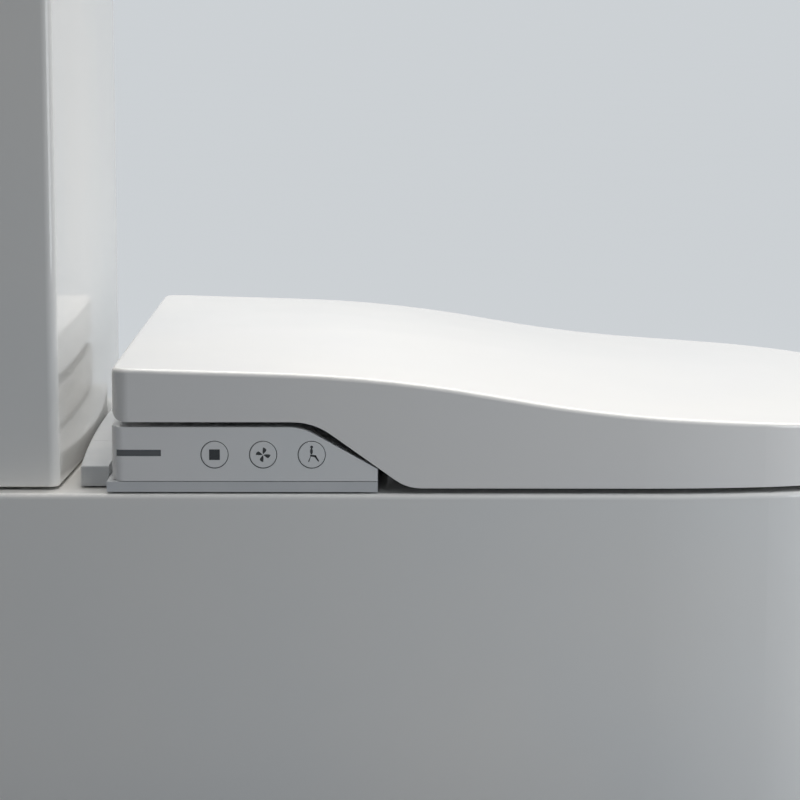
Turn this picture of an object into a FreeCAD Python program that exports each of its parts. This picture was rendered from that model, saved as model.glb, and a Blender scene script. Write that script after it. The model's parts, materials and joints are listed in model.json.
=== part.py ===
"""A smart toilet with a heated seat: back-to-wall pan, close-coupled cistern, and washing unit with seat and lid.

Frame: +Z up, the user looks along -Y, so +X is on the user's left. The origin is on the floor, in the middle of
the whole object. The unit's own places are measured forward from the back wall of the lid and up from the rim.
"""
import FreeCAD
import Part
import math
import os
import Sketcher
from FreeCAD import Placement, Rotation, Vector

doc = FreeCAD.newDocument("SmartToilet")
UP = Vector(0, 0, 1)

# ---------------------------------------------------------------------------------------------- driving dimensions
SIZES = [
    # the whole, seen from above
    ("rim_height", 400), ("lid_width", 370), ("lid_length", 503), ("bend_start", 310),
    ("side_radius", 450), ("shoulder_radius", 130), ("nose_radius", 230), ("rear_corner", 10),
    ("pan_side_margin", 1), ("pan_nose_margin", 3), ("cistern_gap", 32),
    # pan
    ("china_wall", 12), ("rim_edge", 3), ("deck_thickness", 14), ("straight_drop", 130),
    ("foot_taper", 48), ("foot_setback", 85), ("bowl_rear", 150), ("bowl_nose_margin", 42),
    ("bowl_half_width", 142), ("bowl_depth", 262), ("bowl_turn", 110), ("bowl_shift", 45),
    ("trap_bore", 30), ("trap_wall", 10), ("trap_start", 255), ("dip_height", 172), ("dip_forward", 150),
    ("weir_height", 285), ("weir_front", 75), ("weir_back", 20), ("trap_bend", 48), ("drop_forward", -45),
    ("outlet_height", 180), ("outlet_radius", 51), ("outlet_bore", 42), ("outlet_length", 60),
    ("channel_wall", 10), ("channel_width", 80), ("channel_height", 40), ("channel_cover", 6),
    ("inlet_hole_radius", 43), ("spreader_width", 56), ("spreader_height", 14),
    # floor fixing
    ("bracket_forward", 60), ("bracket_length", 44), ("bracket_foot", 32), ("bracket_height", 40),
    ("bracket_thickness", 3), ("side_screw_height", 28), ("side_screw_radius", 3),
    ("side_screw_clearance", 1), ("floor_screw_radius", 4), ("screw_head_height", 4), ("cap_radius", 9),
    ("cap_thickness", 3), ("cap_gap", 0.2), ("spot_face", 9), ("screw_head", 6), ("thread_gap", 0.05),
    ("head_gap", 0.4),
    # cistern
    ("cistern_width", 348), ("cistern_depth", 156), ("cistern_height", 350), ("cistern_bulge", 4.5),
    ("cistern_edge", 6), ("cistern_wall", 10), ("cistern_foot_gap", 1.5), ("gasket_outer", 60),
    ("gasket_inner", 46), ("gasket_height", 6), ("cistern_lid_height", 26), ("cistern_lid_overhang", 1.5),
    ("cistern_lid_wall", 8), ("lid_lip_depth", 14), ("lid_lip_gap", 3), ("flush_hole_radius", 25),
    ("valve_hole_radius", 32), ("cistern_bolt_offset", 76), ("cistern_bolt_radius", 4),
    ("cistern_bolt_hole", 6), ("washer_radius", 14), ("washer_thickness", 4), ("nut_height", 10),
    ("bolt_head_height", 5), ("bolt_head_radius", 10), ("wing_hub_radius", 9), ("fill_offset", 108),
    ("fill_hole_radius", 8), ("hose_hole_radius", 18), ("tail_radius", 7), ("tail_length", 18),
    ("fill_nut_radius", 17), ("fill_nut_gap", 0.3), ("fill_radius", 10),
    ("fill_flange_radius", 14), ("fill_flange_height", 6), ("fill_column_height", 250),
    ("float_radius", 24), ("float_height", 60), ("float_rest", 130), ("running_gap", 0.05),
    # flush valve and buttons
    ("valve_seat_radius", 40), ("valve_stem_radius", 31), ("valve_bore", 26), ("valve_base_height", 14),
    ("valve_thread_length", 30), ("valve_nut_radius", 40), ("valve_nut_height", 9), ("cage_radius", 36),
    ("cage_wall", 2.5), ("cage_height", 210), ("lift_tube_radius", 14), ("lift_tube_wall", 2),
    ("lift_tube_height", 236), ("tube_gap", 0.08), ("valve_seal_radius", 30), ("valve_seal_height", 4),
    ("bezel_radius", 29), ("bezel_wall", 2), ("bezel_rise", 2.5), ("bezel_depth", 20),
    ("button_gap", 0.5), ("button_height", 14), ("button_split", 8),
    # base plate and rear trim
    ("pad_height", 1), ("pad_radius", 9), ("inner_pad_offset", 60), ("plate_height", 6),
    ("plate_rear", 3), ("unit_gap", 0.4), ("bolt_spacing", 155), ("bolt_forward", 60),
    ("seat_bolt_radius", 4), ("seat_bolt_head", 9), ("seat_bolt_sink", 5), ("seat_bolt_length", 44),
    ("seat_bolt_hole", 7), ("seat_nut_radius", 13), ("bush_radius", 11), ("bush_height", 8),
    ("rail_offset", 120), ("rail_width", 8), ("rail_height", 2.2), ("rail_start", 20),
    ("rail_length", 80), ("rail_gap", 0.4), ("trim_half_width", 166), ("trim_height", 12),
    ("trim_depth", 17), ("trim_bulge", 5.5), ("trim_gap", 0.6), ("cover_half_width", 77),
    # unit housing
    ("panel_reach", 154), ("panel_top", 38.9), ("panel_wall", 2.5), ("panel_inset", 0.5),
    ("panel_nose", 14.5), ("panel_bend", 30), ("slope_start", 110), ("housing_wall", 2.5),
    ("floor_thickness", 2.5), ("seam_drop", 9.6), ("raised_half_width", 131), ("raised_start", 34),
    ("raised_gap", 4.5), ("hinge_back", 14), ("hinge_rise", 57.5), ("barrel_radius", 9.5),
    ("damper_radius", 7.6), ("damper_gap", 0.05), ("damper_length", 62), ("barrel_end", 134),
    ("neck_low", 8), ("pin_radius", 4), ("strip_reach", 28.7), ("strip_low", 22), ("strip_height", 3.7),
    ("window_gap", 0.05),
    # buttons on the panel
    ("first_button", 59.7), ("button_pitch", 28.1), ("button_level", 22.9), ("panel_button_radius", 7.7),
    ("panel_button_gap", 0.45), ("panel_button_proud", 0.1), ("stem_radius", 3), ("stem_length", 4),
    ("button_cap", 1.4), ("release_forward", 128), ("release_level", 20), ("release_radius", 8),
    # inside the unit
    ("board_thickness", 1.6), ("nozzle_slope", 18), ("nozzle_level", 12.5), ("nozzle_radius", 7.5),
    ("nozzle_length", 118), ("nozzle_tip_length", 14), ("guide_wall", 1.8), ("guide_gap", 0.3),
    ("guide_seat_gap", 0.05), ("nozzle_bore", 3.5), ("flap_offset", 38), ("flap_width", 34),
    ("flap_height", 11), ("flap_low", 9.5), ("flap_thickness", 1.5), ("flap_gap", 0.4),
    ("blower_offset", 88), ("blower_forward", 78), ("blower_radius", 32), ("blower_height", 24),
    ("blower_wall", 2), ("impeller_radius", 26), ("impeller_blades", 12), ("blade_thickness", 1.5),
    ("heater_offset", 62), ("heater_width", 52), ("heater_length", 66), ("heater_height", 34),
    ("tube_bore", 2.5), ("inlet_forward", 36), ("inlet_level", 22.5), ("inlet_radius", 8.3),
    ("inlet_bore", 5), ("inlet_length", 15), ("inlet_gap", 0.5), ("port_radius", 12), ("port_gap", 0.1),
    ("gland_forward", 12), ("gland_radius", 6.5), ("gland_neck", 4.5), ("gland_bore", 3.5),
    ("gland_depth", 5),
    # seat and lid
    ("lid_wall", 3), ("lid_rear_height", 73.2), ("rear_slope", 0.030), ("waist_slope", 0.182),
    ("front_slope", 0.060), ("waist_start", 96), ("waist_middle", 225.5), ("waist_end", 336.4),
    ("lid_crown", 4.5), ("lid_edge", 2.5), ("lid_lower_rear", 42), ("lid_lower_front", 3.3),
    ("lid_rear_foot", 7), ("lid_slope_start", 117), ("lid_slope_end", 171), ("lid_slope_bend", 38),
    ("ear_start", 170.5), ("ear_radius", 8.5), ("arm_low", 140), ("arm_high", 168), ("arm_rise", 50),
    ("seat_side_gap", 3), ("seat_top_gap", 3.5), ("seat_low", 6), ("seat_wall", 3), ("seat_rear", 158),
    ("seat_hole_rear", 207), ("seat_hole_nose", 443), ("seat_hole_half", 110), ("notch_half_width", 72),
    ("notch_rise", 24), ("foil_thickness", 0.6), ("bumper_radius", 8), ("bumper_gap", 0.3),
    ("lid_bumper_radius", 6), ("pin_reach", 22), ("ear_bore", 9), ("front_bumper_x", 100),
    ("front_bumper_forward", 452), ("rear_bumper_x", 148), ("rear_bumper_forward", 215),
    # what the housing holds
    ("switch_height", 3.9), ("board_edge", 8), ("board_rise", 3.5), ("side_bay_start", 137),
    ("side_bay_width", 32), ("bay_rear", 22), ("supply_length", 54), ("supply_rear", 56),
    ("supply_height", 23), ("board_standoff", 5), ("board_length", 92), ("chip_height", 6),
    ("heater_front_gap", 8), ("valve_block_width", 30), ("valve_block_length", 26),
    ("valve_block_height", 24), ("motor_radius", 12), ("motor_length", 14), ("motor_gap", 1),
    ("motor_forward", 62), ("motor_level", 13), ("sensor_radius", 5), ("sensor_offset", 62),
    ("sensor_level", 45),
]

# Places that follow from the driving dimensions. f_ is forward from the lid's back wall, y_ and z_ are in the frame.
PLACES = [
    ("lid_half", "size.lid_width / 2"),
    ("pan_half", "lid_half + size.pan_side_margin"),
    ("depth", "size.pan_nose_margin + size.lid_length + size.cistern_gap + size.cistern_depth"),
    ("y_nose", "-depth / 2"),
    ("y_back", "depth / 2"),
    ("y_lid", "y_nose + size.pan_nose_margin + size.lid_length"),
    ("y_bend", "y_lid - size.bend_start"),
    ("y_cistern", "y_back - size.cistern_depth"),
    ("y_cistern_middle", "y_back - size.cistern_depth / 2"),
    ("cistern_half", "size.cistern_width / 2"),
    ("z_rim", "size.rim_height"),
    ("z_deck_under", "z_rim - size.deck_thickness"),
    ("z_cistern", "z_rim + size.cistern_foot_gap"),
    ("z_cistern_floor", "z_cistern + size.cistern_wall"),
    ("z_cistern_top", "z_cistern + size.cistern_height"),
    ("z_lid_under", "z_cistern_top + size.cistern_lid_height - size.cistern_lid_wall"),
    ("z_cistern_lid", "z_cistern_top + size.cistern_lid_height"),
    ("z_pads", "z_rim + size.pad_height"),
    ("z_plate", "z_pads + size.plate_height"),
    ("z_unit", "z_plate + size.unit_gap"),
    ("z_floor", "z_unit + size.floor_thickness"),
    ("y_unit_back", "y_lid + size.plate_rear"),
    ("y_unit_front", "y_lid - size.panel_reach"),
    ("panel_half", "lid_half - size.panel_inset"),
    ("panel_inner", "panel_half - size.panel_wall"),
    ("housing_half", "panel_inner"),
    ("z_panel", "z_rim + size.panel_top"),
    ("y_raised", "y_lid - size.raised_start"),
    ("y_hinge", "y_lid - size.hinge_back"),
    ("z_hinge", "z_rim + size.hinge_rise"),
    ("y_bolts", "y_lid - size.bolt_forward"),
    ("x_bolts", "size.bolt_spacing / 2"),
    ("z_buttons", "z_rim + size.button_level"),
    ("y_button_middle", "y_lid - size.first_button - size.button_pitch"),
    ("x_button_face", "panel_half + size.panel_button_proud"),
    ("z_release", "z_rim + size.release_level"),
    ("y_release", "y_lid - size.release_forward"),
    ("y_bracket", "y_lid - size.bracket_forward"),
    ("z_channel_top", "z_deck_under - size.channel_cover"),
    ("z_channel", "z_channel_top - size.channel_height"),
    ("y_bowl_back", "y_lid - size.bowl_rear"),
    ("y_bowl_front", "y_nose + size.bowl_nose_margin"),
    ("y_bowl", "(y_bowl_back + y_bowl_front) / 2"),
    ("bowl_half_length", "(y_bowl_back - y_bowl_front) / 2"),
    ("foot_share", "(size.rim_height - size.straight_drop - size.side_screw_height)"
                   " / (size.rim_height - size.straight_drop)"),
    ("x_skirt_low", "pan_half - size.foot_taper * foot_share ^ 2"),
    ("z_nozzle", "z_rim + size.nozzle_level"),
    ("guide_inner", "size.nozzle_radius + size.guide_gap"),
    ("guide_outer", "guide_inner + size.guide_wall"),
    ("z_flap", "z_rim + size.flap_low"),
    ("y_flap", "y_unit_front + size.flap_thickness"),
    ("y_blower", "y_lid - size.blower_forward"),
    ("z_blower", "z_floor + 4 * size.board_thickness"),
    ("z_inlet", "z_rim + size.inlet_level"),
    ("z_seat", "z_rim + size.seat_low"),
    ("valve_top", "z_cistern_floor + size.valve_base_height"),
]


def make_sheet(name, rows, lead):
    """A sheet of named cells: one value to a row, with its name beside it."""
    sheet = doc.addObject("Spreadsheet::Sheet", name)
    for row, (alias, value) in enumerate(rows, start=1):
        sheet.set(f"A{row}", alias)
        sheet.set(f"B{row}", lead + str(value))
        sheet.setAlias(f"B{row}", alias)
    doc.recompute()
    return sheet


size = make_sheet("size", SIZES, "")
place = make_sheet("place", PLACES, "=")
nodes = []

TURN = {"x": Rotation(Vector(0, 1, 0), 90), "y": Rotation(Vector(1, 0, 0), -90), "z": Rotation()}
MIRROR = Vector(1, 0, 0)


def amount(formula):
    """The number that a formula of the sheets gives now."""
    value = place.evalExpression(formula)
    return float(getattr(value, "Value", value))


def bind(thing, **formulas):
    """Ties properties to the sheets: Placement_Base_x is written for Placement.Base.x."""
    for name, formula in formulas.items():
        thing.setExpression(name.replace("_", "."), formula)
    return thing


def put(thing, at, turn=None):
    """Places a thing by three formulas."""
    thing.Placement = Placement(Vector(), turn or Rotation())
    return bind(thing, Placement_Base_x=at[0], Placement_Base_y=at[1], Placement_Base_z=at[2])


def block(x, y, z):
    """A box between two formulas along each axis."""
    thing = doc.addObject("Part::Box", "Block")
    put(thing, (x[0], y[0], z[0]))
    return bind(thing, Length=f"({x[1]}) - ({x[0]})", Width=f"({y[1]}) - ({y[0]})", Height=f"({z[1]}) - ({z[0]})")


def wide_block(half, y, z):
    """A box that is centred across the object."""
    return block((f"-({half})", half), y, z)


def rod(radius, at, length, along="z"):
    """A round bar from a point, along an axis."""
    thing = doc.addObject("Part::Cylinder", "Rod")
    put(thing, at, TURN[along])
    return bind(thing, Radius=radius, Height=length)


def leaning_rod(radius, start, end):
    """A round bar along the nozzle's slope, between two distances back from the unit's front face."""
    thing = doc.addObject("Part::Cylinder", "LeaningRod")
    lean = math.radians(amount("size.nozzle_slope"))
    rise = Vector(0, math.cos(lean), math.sin(lean))
    thing.Placement = Placement(Vector(), Rotation(UP, rise))
    run = "cos(size.nozzle_slope * 1 deg)"
    climb = "sin(size.nozzle_slope * 1 deg)"
    return bind(
        thing,
        Radius=radius,
        Height=f"({end}) - ({start})",
        Placement_Base_y=f"place.y_unit_front + ({start}) * {run}",
        Placement_Base_z=f"place.z_nozzle + ({start}) * {climb}",
    )


def fused(*parts):
    thing = doc.addObject("Part::MultiFuse", "Joined")
    thing.Shapes = list(parts)
    return thing


def cut(base, *tools):
    thing = doc.addObject("Part::Cut", "Cut")
    thing.Base = base
    thing.Tool = tools[0] if len(tools) == 1 else fused(*tools)
    return thing


def common(first, second):
    thing = doc.addObject("Part::Common", "Common")
    thing.Base = first
    thing.Tool = second
    return thing


def mirrored(source):
    thing = doc.addObject("Part::Mirroring", "Mirrored")
    thing.Source = source
    thing.Normal = MIRROR
    return thing


def pair(source):
    """The piece and its mirror image on the other side, as separate solids."""
    return group(source, mirrored(source))


def group(*parts):
    thing = doc.addObject("Part::Compound", "Group")
    thing.Links = list(parts)
    return thing


def shaped(shape):
    """A free form that neither sketches nor primitives give."""
    thing = doc.addObject("Part::Feature", "Form")
    thing.Shape = shape
    return thing


def node(label, thing):
    """Names a finished piece."""
    thing.Label = label
    nodes.append(thing)
    return thing


def plane(body, role):
    return next(item for item in body.Origin.OriginFeatures if item.Role == role)


def outline(body, role, points):
    """A closed sketch of straight lines whose corners are tied to the sheets."""
    sketch = body.newObject("Sketcher::SketchObject", "Outline")
    sketch.AttachmentSupport = [(plane(body, role), "")]
    sketch.MapMode = "FlatFace"
    values = [(amount(u), amount(v)) for u, v in points]
    count = len(points)
    for i, (u, v) in enumerate(values):
        after = values[(i + 1) % count]
        sketch.addGeometry(Part.LineSegment(Vector(u, v, 0), Vector(after[0], after[1], 0)))
    for i in range(count):
        sketch.addConstraint(Sketcher.Constraint("Coincident", i, 2, (i + 1) % count, 1))
    for i, corner in enumerate(points):
        for kind, value, formula in zip(("DistanceX", "DistanceY"), values[i], corner):
            index = sketch.addConstraint(Sketcher.Constraint(kind, -1, 1, i, 1, value))
            sketch.setExpression(f"Constraints[{index}]", formula)
    return sketch


def turned(points, at, along="z"):
    """A lathe-turned piece: its half section is given as radius and height."""
    body = doc.addObject("PartDesign::Body", "Turned")
    sketch = outline(body, "XZ_Plane", points)
    spin = body.newObject("PartDesign::Revolution", "Revolution")
    spin.Profile = sketch
    spin.ReferenceAxis = (sketch, ["V_Axis"])
    spin.Angle = 360
    return put(body, at, TURN[along])


def ring_section(inner, outer, low, high):
    return [(inner, low), (outer, low), (outer, high), (inner, high)]


# ------------------------------------------------------------------------------------------------- shared outlines
def meet(first, first_radius, second, second_radius):
    """The point at two given distances from two centres that lies furthest out and forward."""
    gap = second - first
    reach = (first_radius ** 2 - second_radius ** 2 + gap.Length ** 2) / (2 * gap.Length)
    side = math.sqrt(first_radius ** 2 - reach ** 2)
    along = gap.normalize()
    return first + along * reach + Vector(-along.y, along.x, 0) * -side


def flipped(point):
    """The same point on the other side."""
    return None if point is None else Vector(-point.x, point.y, 0)


def plan(z, half, rear, nose, bend, scale=1.0, inset=0.0, corner=None):
    """The outline seen from above: straight back and sides, then three tangent arcs a side round the nose."""
    side_radius = size.side_radius * scale - inset
    shoulder_radius = size.shoulder_radius * scale - inset
    nose_radius = size.nose_radius * scale - inset
    corner = size.rear_corner if corner is None else corner
    corner = max(corner - inset, 1) if corner else 0
    half, rear, nose = half - inset, rear - inset, nose + inset
    side_centre = Vector(half - side_radius, bend, 0)
    nose_centre = Vector(0, nose + nose_radius, 0)
    centre = meet(side_centre, side_radius - shoulder_radius, nose_centre, nose_radius - shoulder_radius)
    side_end = side_centre + (centre - side_centre).normalize() * side_radius
    nose_end = nose_centre + (centre - nose_centre).normalize() * nose_radius
    shoulder = ((side_end - centre) + (nose_end - centre)).normalize() * shoulder_radius + centre
    side_middle = ((side_end - side_centre) + Vector(side_radius, 0, 0)).normalize() * side_radius + side_centre
    corner_middle = Vector(half - corner, rear - corner, 0) + Vector(1, 1, 0).normalize() * corner
    right = [
        (Vector(half - corner, rear, 0), corner_middle, Vector(half, rear - corner, 0)),
        (Vector(half, rear - corner, 0), None, Vector(half, bend, 0)),
        (Vector(half, bend, 0), side_middle, side_end),
        (side_end, shoulder, nose_end),
    ]
    if not corner:
        right = right[1:]
    left = [(flipped(end), flipped(middle), flipped(start)) for start, middle, end in reversed(right)]
    runs = right + [(nose_end, Vector(0, nose, 0), flipped(nose_end))] + left
    runs.append((flipped(right[0][0]), None, right[0][0]))
    lift = Vector(0, 0, z)
    edges = []
    for start, middle, end in runs:
        if middle is None:
            edges.append(Part.makeLine(start + lift, end + lift))
        else:
            edges.append(Part.Arc(start + lift, middle + lift, end + lift).toShape())
    return Part.Wire(edges)


def prism(wire, height):
    return Part.Face(wire).extrude(Vector(0, 0, height))


def egg(z, middle, half_length, half_width):
    """A rounded outline of the bowl at one level: a superellipse."""
    power = 2 / 2.5
    points = []
    for i in range(24):
        angle = 2 * math.pi * i / 24
        c, s = math.cos(angle), math.sin(angle)
        x = half_width * math.copysign(abs(c) ** power, c)
        y = half_length * math.copysign(abs(s) ** power, s)
        points.append(Vector(x, middle + y, z))
    curve = Part.BSplineCurve()
    curve.interpolate(Points=points, PeriodicFlag=True)
    return Part.Wire(curve.toShape())


def side_prism(points, half):
    """A profile seen from the side, in forward and up from the rim, carried across the object.

    Each point is (forward, up) or (forward, up, radius) where the corner is rounded.
    """
    corners = [Vector(-half, place.y_lid - p[0], place.z_rim + p[1]) for p in points]
    radii = [p[2] if len(p) > 2 else 0 for p in points]
    count = len(points)
    cuts = []
    for i, corner in enumerate(corners):
        before = (corners[i - 1] - corner).normalize()
        after = (corners[(i + 1) % count] - corner).normalize()
        half_turn = before.getAngle(after) / 2
        reach = radii[i] / math.tan(half_turn) if radii[i] else 0
        cuts.append((corner + before * reach, after * reach + corner, before, after, half_turn))
    edges = []
    for i in range(count):
        start, end, before, after, half_turn = cuts[i]
        if radii[i]:
            centre = corners[i] + (before + after).normalize() * (radii[i] / math.sin(half_turn))
            middle = centre + (corners[i] - centre).normalize() * radii[i]
            edges.append(Part.Arc(start, middle, end).toShape())
        edges.append(Part.makeLine(end, cuts[(i + 1) % count][0]))
    return Part.Face(Part.Wire(edges)).extrude(Vector(2 * half, 0, 0))


def edges_near(shape, test):
    return [edge for edge in shape.Edges if test(edge)]


# ------------------------------------------------------------------------------------------------------------- pan
def skirt_wire(z, inset=0.0, rear_gain=0.0):
    """The pan's outline at a height: upright below the rim, then drawn in towards the foot."""
    straight = size.rim_height - size.straight_drop
    share = max(0.0, (straight - z) / straight)
    half = place.pan_half - size.foot_taper * share ** 2
    scale = half / place.pan_half
    nose = place.y_nose + size.foot_setback * share ** 1.8
    bend = nose + (size.lid_length - size.bend_start) * scale
    return plan(z, half, place.y_back + rear_gain, nose, bend, scale, inset, corner=0)


def skirt(low, high, inset=0.0, rear_gain=0.0):
    steps = 12
    levels = [low + (high - low) * i / (steps - 1) for i in range(steps)]
    return Part.makeLoft([skirt_wire(z, inset, rear_gain) for z in levels], True, False)


def bowl(wall):
    """The bowl's inside, or with a wall its outside: eggs that narrow towards the sump."""
    wires = []
    for share in (0, 0.02, 0.12, 0.28, 0.44, 0.58, 0.7, 0.8, 0.88, 0.94, 0.975):
        width = (1 - share ** 2.2) ** 0.6
        z = place.z_rim - (size.bowl_depth + wall) * share
        middle = place.y_bowl + size.bowl_shift * share ** 2
        wires.append(egg(z, middle, place.bowl_half_length * width + wall, size.bowl_half_width * width + wall))
    return Part.makeLoft(wires, True, False)


def trap_path(points, radius):
    """A line of straight runs joined by arcs, in the plane of symmetry."""
    edges = []
    last = points[0]
    for before, corner, after in zip(points, points[1:], points[2:]):
        back = (before - corner).normalize()
        ahead = (after - corner).normalize()
        half_turn = back.getAngle(ahead) / 2
        reach = radius / math.tan(half_turn)
        start, end = corner + back * reach, corner + ahead * reach
        centre = corner + (back + ahead).normalize() * (radius / math.sin(half_turn))
        middle = centre + (corner - centre).normalize() * radius
        edges.append(Part.makeLine(last, start))
        edges.append(Part.Arc(start, middle, end).toShape())
        last = end
    edges.append(Part.makeLine(last, points[-1]))
    return Part.Wire(edges)


def trap(radius):
    """The trapway as a bent pipe: level dip, rise to the weir, fall to the outlet."""
    points = [
        (size.trap_start, size.dip_height), (size.dip_forward, size.dip_height),
        (size.weir_front, size.weir_height), (size.weir_back, size.weir_height),
        (size.drop_forward, size.outlet_height), (place.y_lid - place.y_back, size.outlet_height),
    ]
    path = trap_path([Vector(0, place.y_lid - f, z) for f, z in points], size.trap_bend)
    ring = Part.Wire(Part.makeCircle(radius, path.Edges[0].valueAt(path.Edges[0].FirstParameter), Vector(0, 1, 0)))
    return path.makePipeShell([ring], True, False)


def solid_box(half, y_low, y_high, z_low, z_high):
    return Part.makeBox(2 * half, y_high - y_low, z_high - z_low, Vector(-half, y_low, z_low))


def upright_hole(radius, x, y, low, high):
    return Part.makeCylinder(radius, high - low, Vector(x, y, low), UP)


def pan_water_ways():
    """Everything that is open inside the china: bowl, trap, outlet, flush channel and the holes of the deck."""
    spigot_start = place.y_back - size.outlet_length + size.trap_wall
    spreader_level = (place.z_channel + place.z_channel_top) / 2
    ways = [
        bowl(0),
        trap(size.trap_bore),
        Part.makeCylinder(size.outlet_bore, size.outlet_length, Vector(0, spigot_start, size.outlet_height),
                          Vector(0, 1, 0)),
        solid_box(size.channel_width / 2, place.y_bowl_back + 2 * size.channel_wall,
                  place.y_cistern_middle + size.inlet_hole_radius, place.z_channel, place.z_channel_top),
        solid_box(size.spreader_width / 2, place.y_bowl_back - 3 * size.channel_wall,
                  place.y_bowl_back + 3 * size.channel_wall,
                  spreader_level - size.spreader_height / 2, spreader_level + size.spreader_height / 2),
        upright_hole(size.inlet_hole_radius, 0, place.y_cistern_middle, place.z_channel, place.z_rim + 1),
    ]
    deck_holes = [
        (size.seat_bolt_hole, place.x_bolts, place.y_bolts),
        (size.cistern_bolt_hole, size.cistern_bolt_offset, place.y_cistern_middle),
        (size.hose_hole_radius, size.fill_offset, place.y_cistern_middle),
    ]
    for radius, x, y in deck_holes:
        for side in (-1, 1):
            ways.append(upright_hole(radius, side * x, y, place.z_deck_under - 1, place.z_rim + 1))
    for side in (-1, 1):
        at = Vector(side * place.x_skirt_low, place.y_bracket, size.side_screw_height)
        ways.append(Part.makeCylinder(size.cap_radius + size.cap_gap, size.spot_face, at, Vector(side, 0, 0)))
        ways.append(Part.makeCylinder(size.side_screw_radius + size.side_screw_clearance, 3 * size.china_wall,
                                      at + Vector(side * size.spot_face, 0, 0), Vector(-side, 0, 0)))
    return ways


def pan_shapes():
    """The china, cast as skirt with deck, bowl, and water ways, which are stuck together before the glaze."""
    edge = size.rim_edge
    steps = [(edge, 0), (0.6 * edge, 0.08 * edge), (0.3 * edge, 0.29 * edge), (0.08 * edge, 0.6 * edge), (0, edge)]
    rounding = Part.makeLoft([skirt_wire(place.z_rim - drop, inset, inset) for drop, inset in steps], True, True)
    outer = skirt(0, place.z_rim - edge).fuse(rounding)
    skirt_piece = outer.cut(skirt(-1, place.z_deck_under, size.china_wall, 2 * size.china_wall))
    bowl_outside = bowl(size.china_wall)
    below_deck = solid_box(place.lid_half, place.y_nose, place.y_back, 0, place.z_deck_under)
    spigot = Part.makeCylinder(size.outlet_radius, size.outlet_length,
                               Vector(0, place.y_back - size.outlet_length, size.outlet_height), Vector(0, 1, 0))
    wall = size.channel_wall
    channel = solid_box(size.channel_width / 2 + wall, place.y_bowl_back - wall,
                        place.y_cistern_middle + size.inlet_hole_radius + wall,
                        place.z_channel - wall, place.z_deck_under)
    soil_way = trap(size.trap_bore + size.trap_wall).fuse(spigot)
    pieces = [skirt_piece, bowl_outside.common(below_deck), soil_way.cut(bowl_outside), channel.cut(bowl_outside)]
    for tool in pan_water_ways():
        pieces = [piece.cut(tool) for piece in pieces]
    return pieces


def bowl_quarters(whole):
    """The bowl in four: left and right, above and below the level where it turns towards the sump."""
    seam = place.z_rim - size.bowl_turn
    quarters = []
    for side in (-1, 1):
        for low, high in ((0, seam), (seam, place.z_rim)):
            x_low, x_high = sorted((0, side * place.pan_half))
            room = Part.makeBox(x_high - x_low, place.depth, high - low, Vector(x_low, place.y_nose, low))
            quarters.append(whole.common(room))
    return quarters


pan_skirt, pan_bowl, pan_trapway, pan_channel = pan_shapes()
node("pan", shaped(pan_skirt))
node("pan_bowl", group(*[shaped(quarter) for quarter in bowl_quarters(pan_bowl)]))
node("pan_waterways", group(shaped(pan_trapway), shaped(pan_channel)))

# ------------------------------------------------------------------------------------------------- floor fixing
tab_face = "place.x_skirt_low - 2 * size.china_wall"
bracket_y = ("place.y_bracket - size.bracket_length / 2", "place.y_bracket + size.bracket_length / 2")
bracket = fused(
    block((f"{tab_face} - size.bracket_foot", tab_face), bracket_y, ("0", "size.bracket_thickness")),
    block((f"{tab_face} - size.bracket_thickness", tab_face), bracket_y, ("0", "size.bracket_height")),
)
side_screw_at = (f"{tab_face} - size.screw_head_height", "place.y_bracket", "size.side_screw_height")
floor_screw_x = f"{tab_face} - size.bracket_foot / 2"
bracket = cut(
    bracket,
    rod("size.side_screw_radius", side_screw_at, "4 * size.screw_head_height", "x"),
    rod("size.floor_screw_radius", (floor_screw_x, "place.y_bracket", "-1"), "3 * size.bracket_thickness"),
)
node("floor_brackets", pair(bracket))

shank = f"place.x_skirt_low - ({tab_face}) + size.screw_head_height"
side_screw = turned(
    [("0", "0"), ("size.side_screw_radius - size.thread_gap", "0"),
     ("size.side_screw_radius - size.thread_gap", shank),
     ("size.screw_head", shank), ("size.screw_head", f"{shank} + size.cap_thickness / 2"),
     ("0", f"{shank} + size.cap_thickness / 2")],
    side_screw_at, "x",
)
node("pan_fixing_screws", pair(side_screw))
cap = turned(
    [("size.screw_head + size.cap_gap", shank), ("size.cap_radius", shank),
     ("size.cap_radius", f"{shank} + size.cap_thickness - 0.5"),
     ("size.cap_radius - 0.5", f"{shank} + size.cap_thickness"), ("0", f"{shank} + size.cap_thickness"),
     ("0", f"{shank} + size.cap_thickness / 2 + size.cap_gap"),
     ("size.screw_head + size.cap_gap", f"{shank} + size.cap_thickness / 2 + size.cap_gap")],
    side_screw_at, "x",
)
node("fixing_caps", pair(cap))


# --------------------------------------------------------------------------------------------------------- cistern
def bulged(z, height, half, front, rear, bulge, corner):
    """A slab whose front face bulges forward, with rounded upright edges."""
    start, end = Vector(-half, front, z), Vector(half, front, z)
    wire = Part.Wire([
        Part.Arc(start, Vector(0, front - bulge, z), end).toShape(),
        Part.makeLine(end, Vector(half, rear, z)),
        Part.makeLine(Vector(half, rear, z), Vector(-half, rear, z)),
        Part.makeLine(Vector(-half, rear, z), start),
    ])
    slab = prism(wire, height)
    upright = edges_near(slab, lambda e: e.BoundBox.ZLength > height - 1 and e.BoundBox.XLength < 1)
    return slab.makeFillet(corner, upright)


def cistern_slab(z, height, inset=0.0):
    corner = max(size.cistern_edge - inset, 2) if inset else size.cistern_edge
    return bulged(z, height, place.cistern_half - inset, place.y_cistern + inset, place.y_back - inset,
                  size.cistern_bulge, corner)


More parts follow.
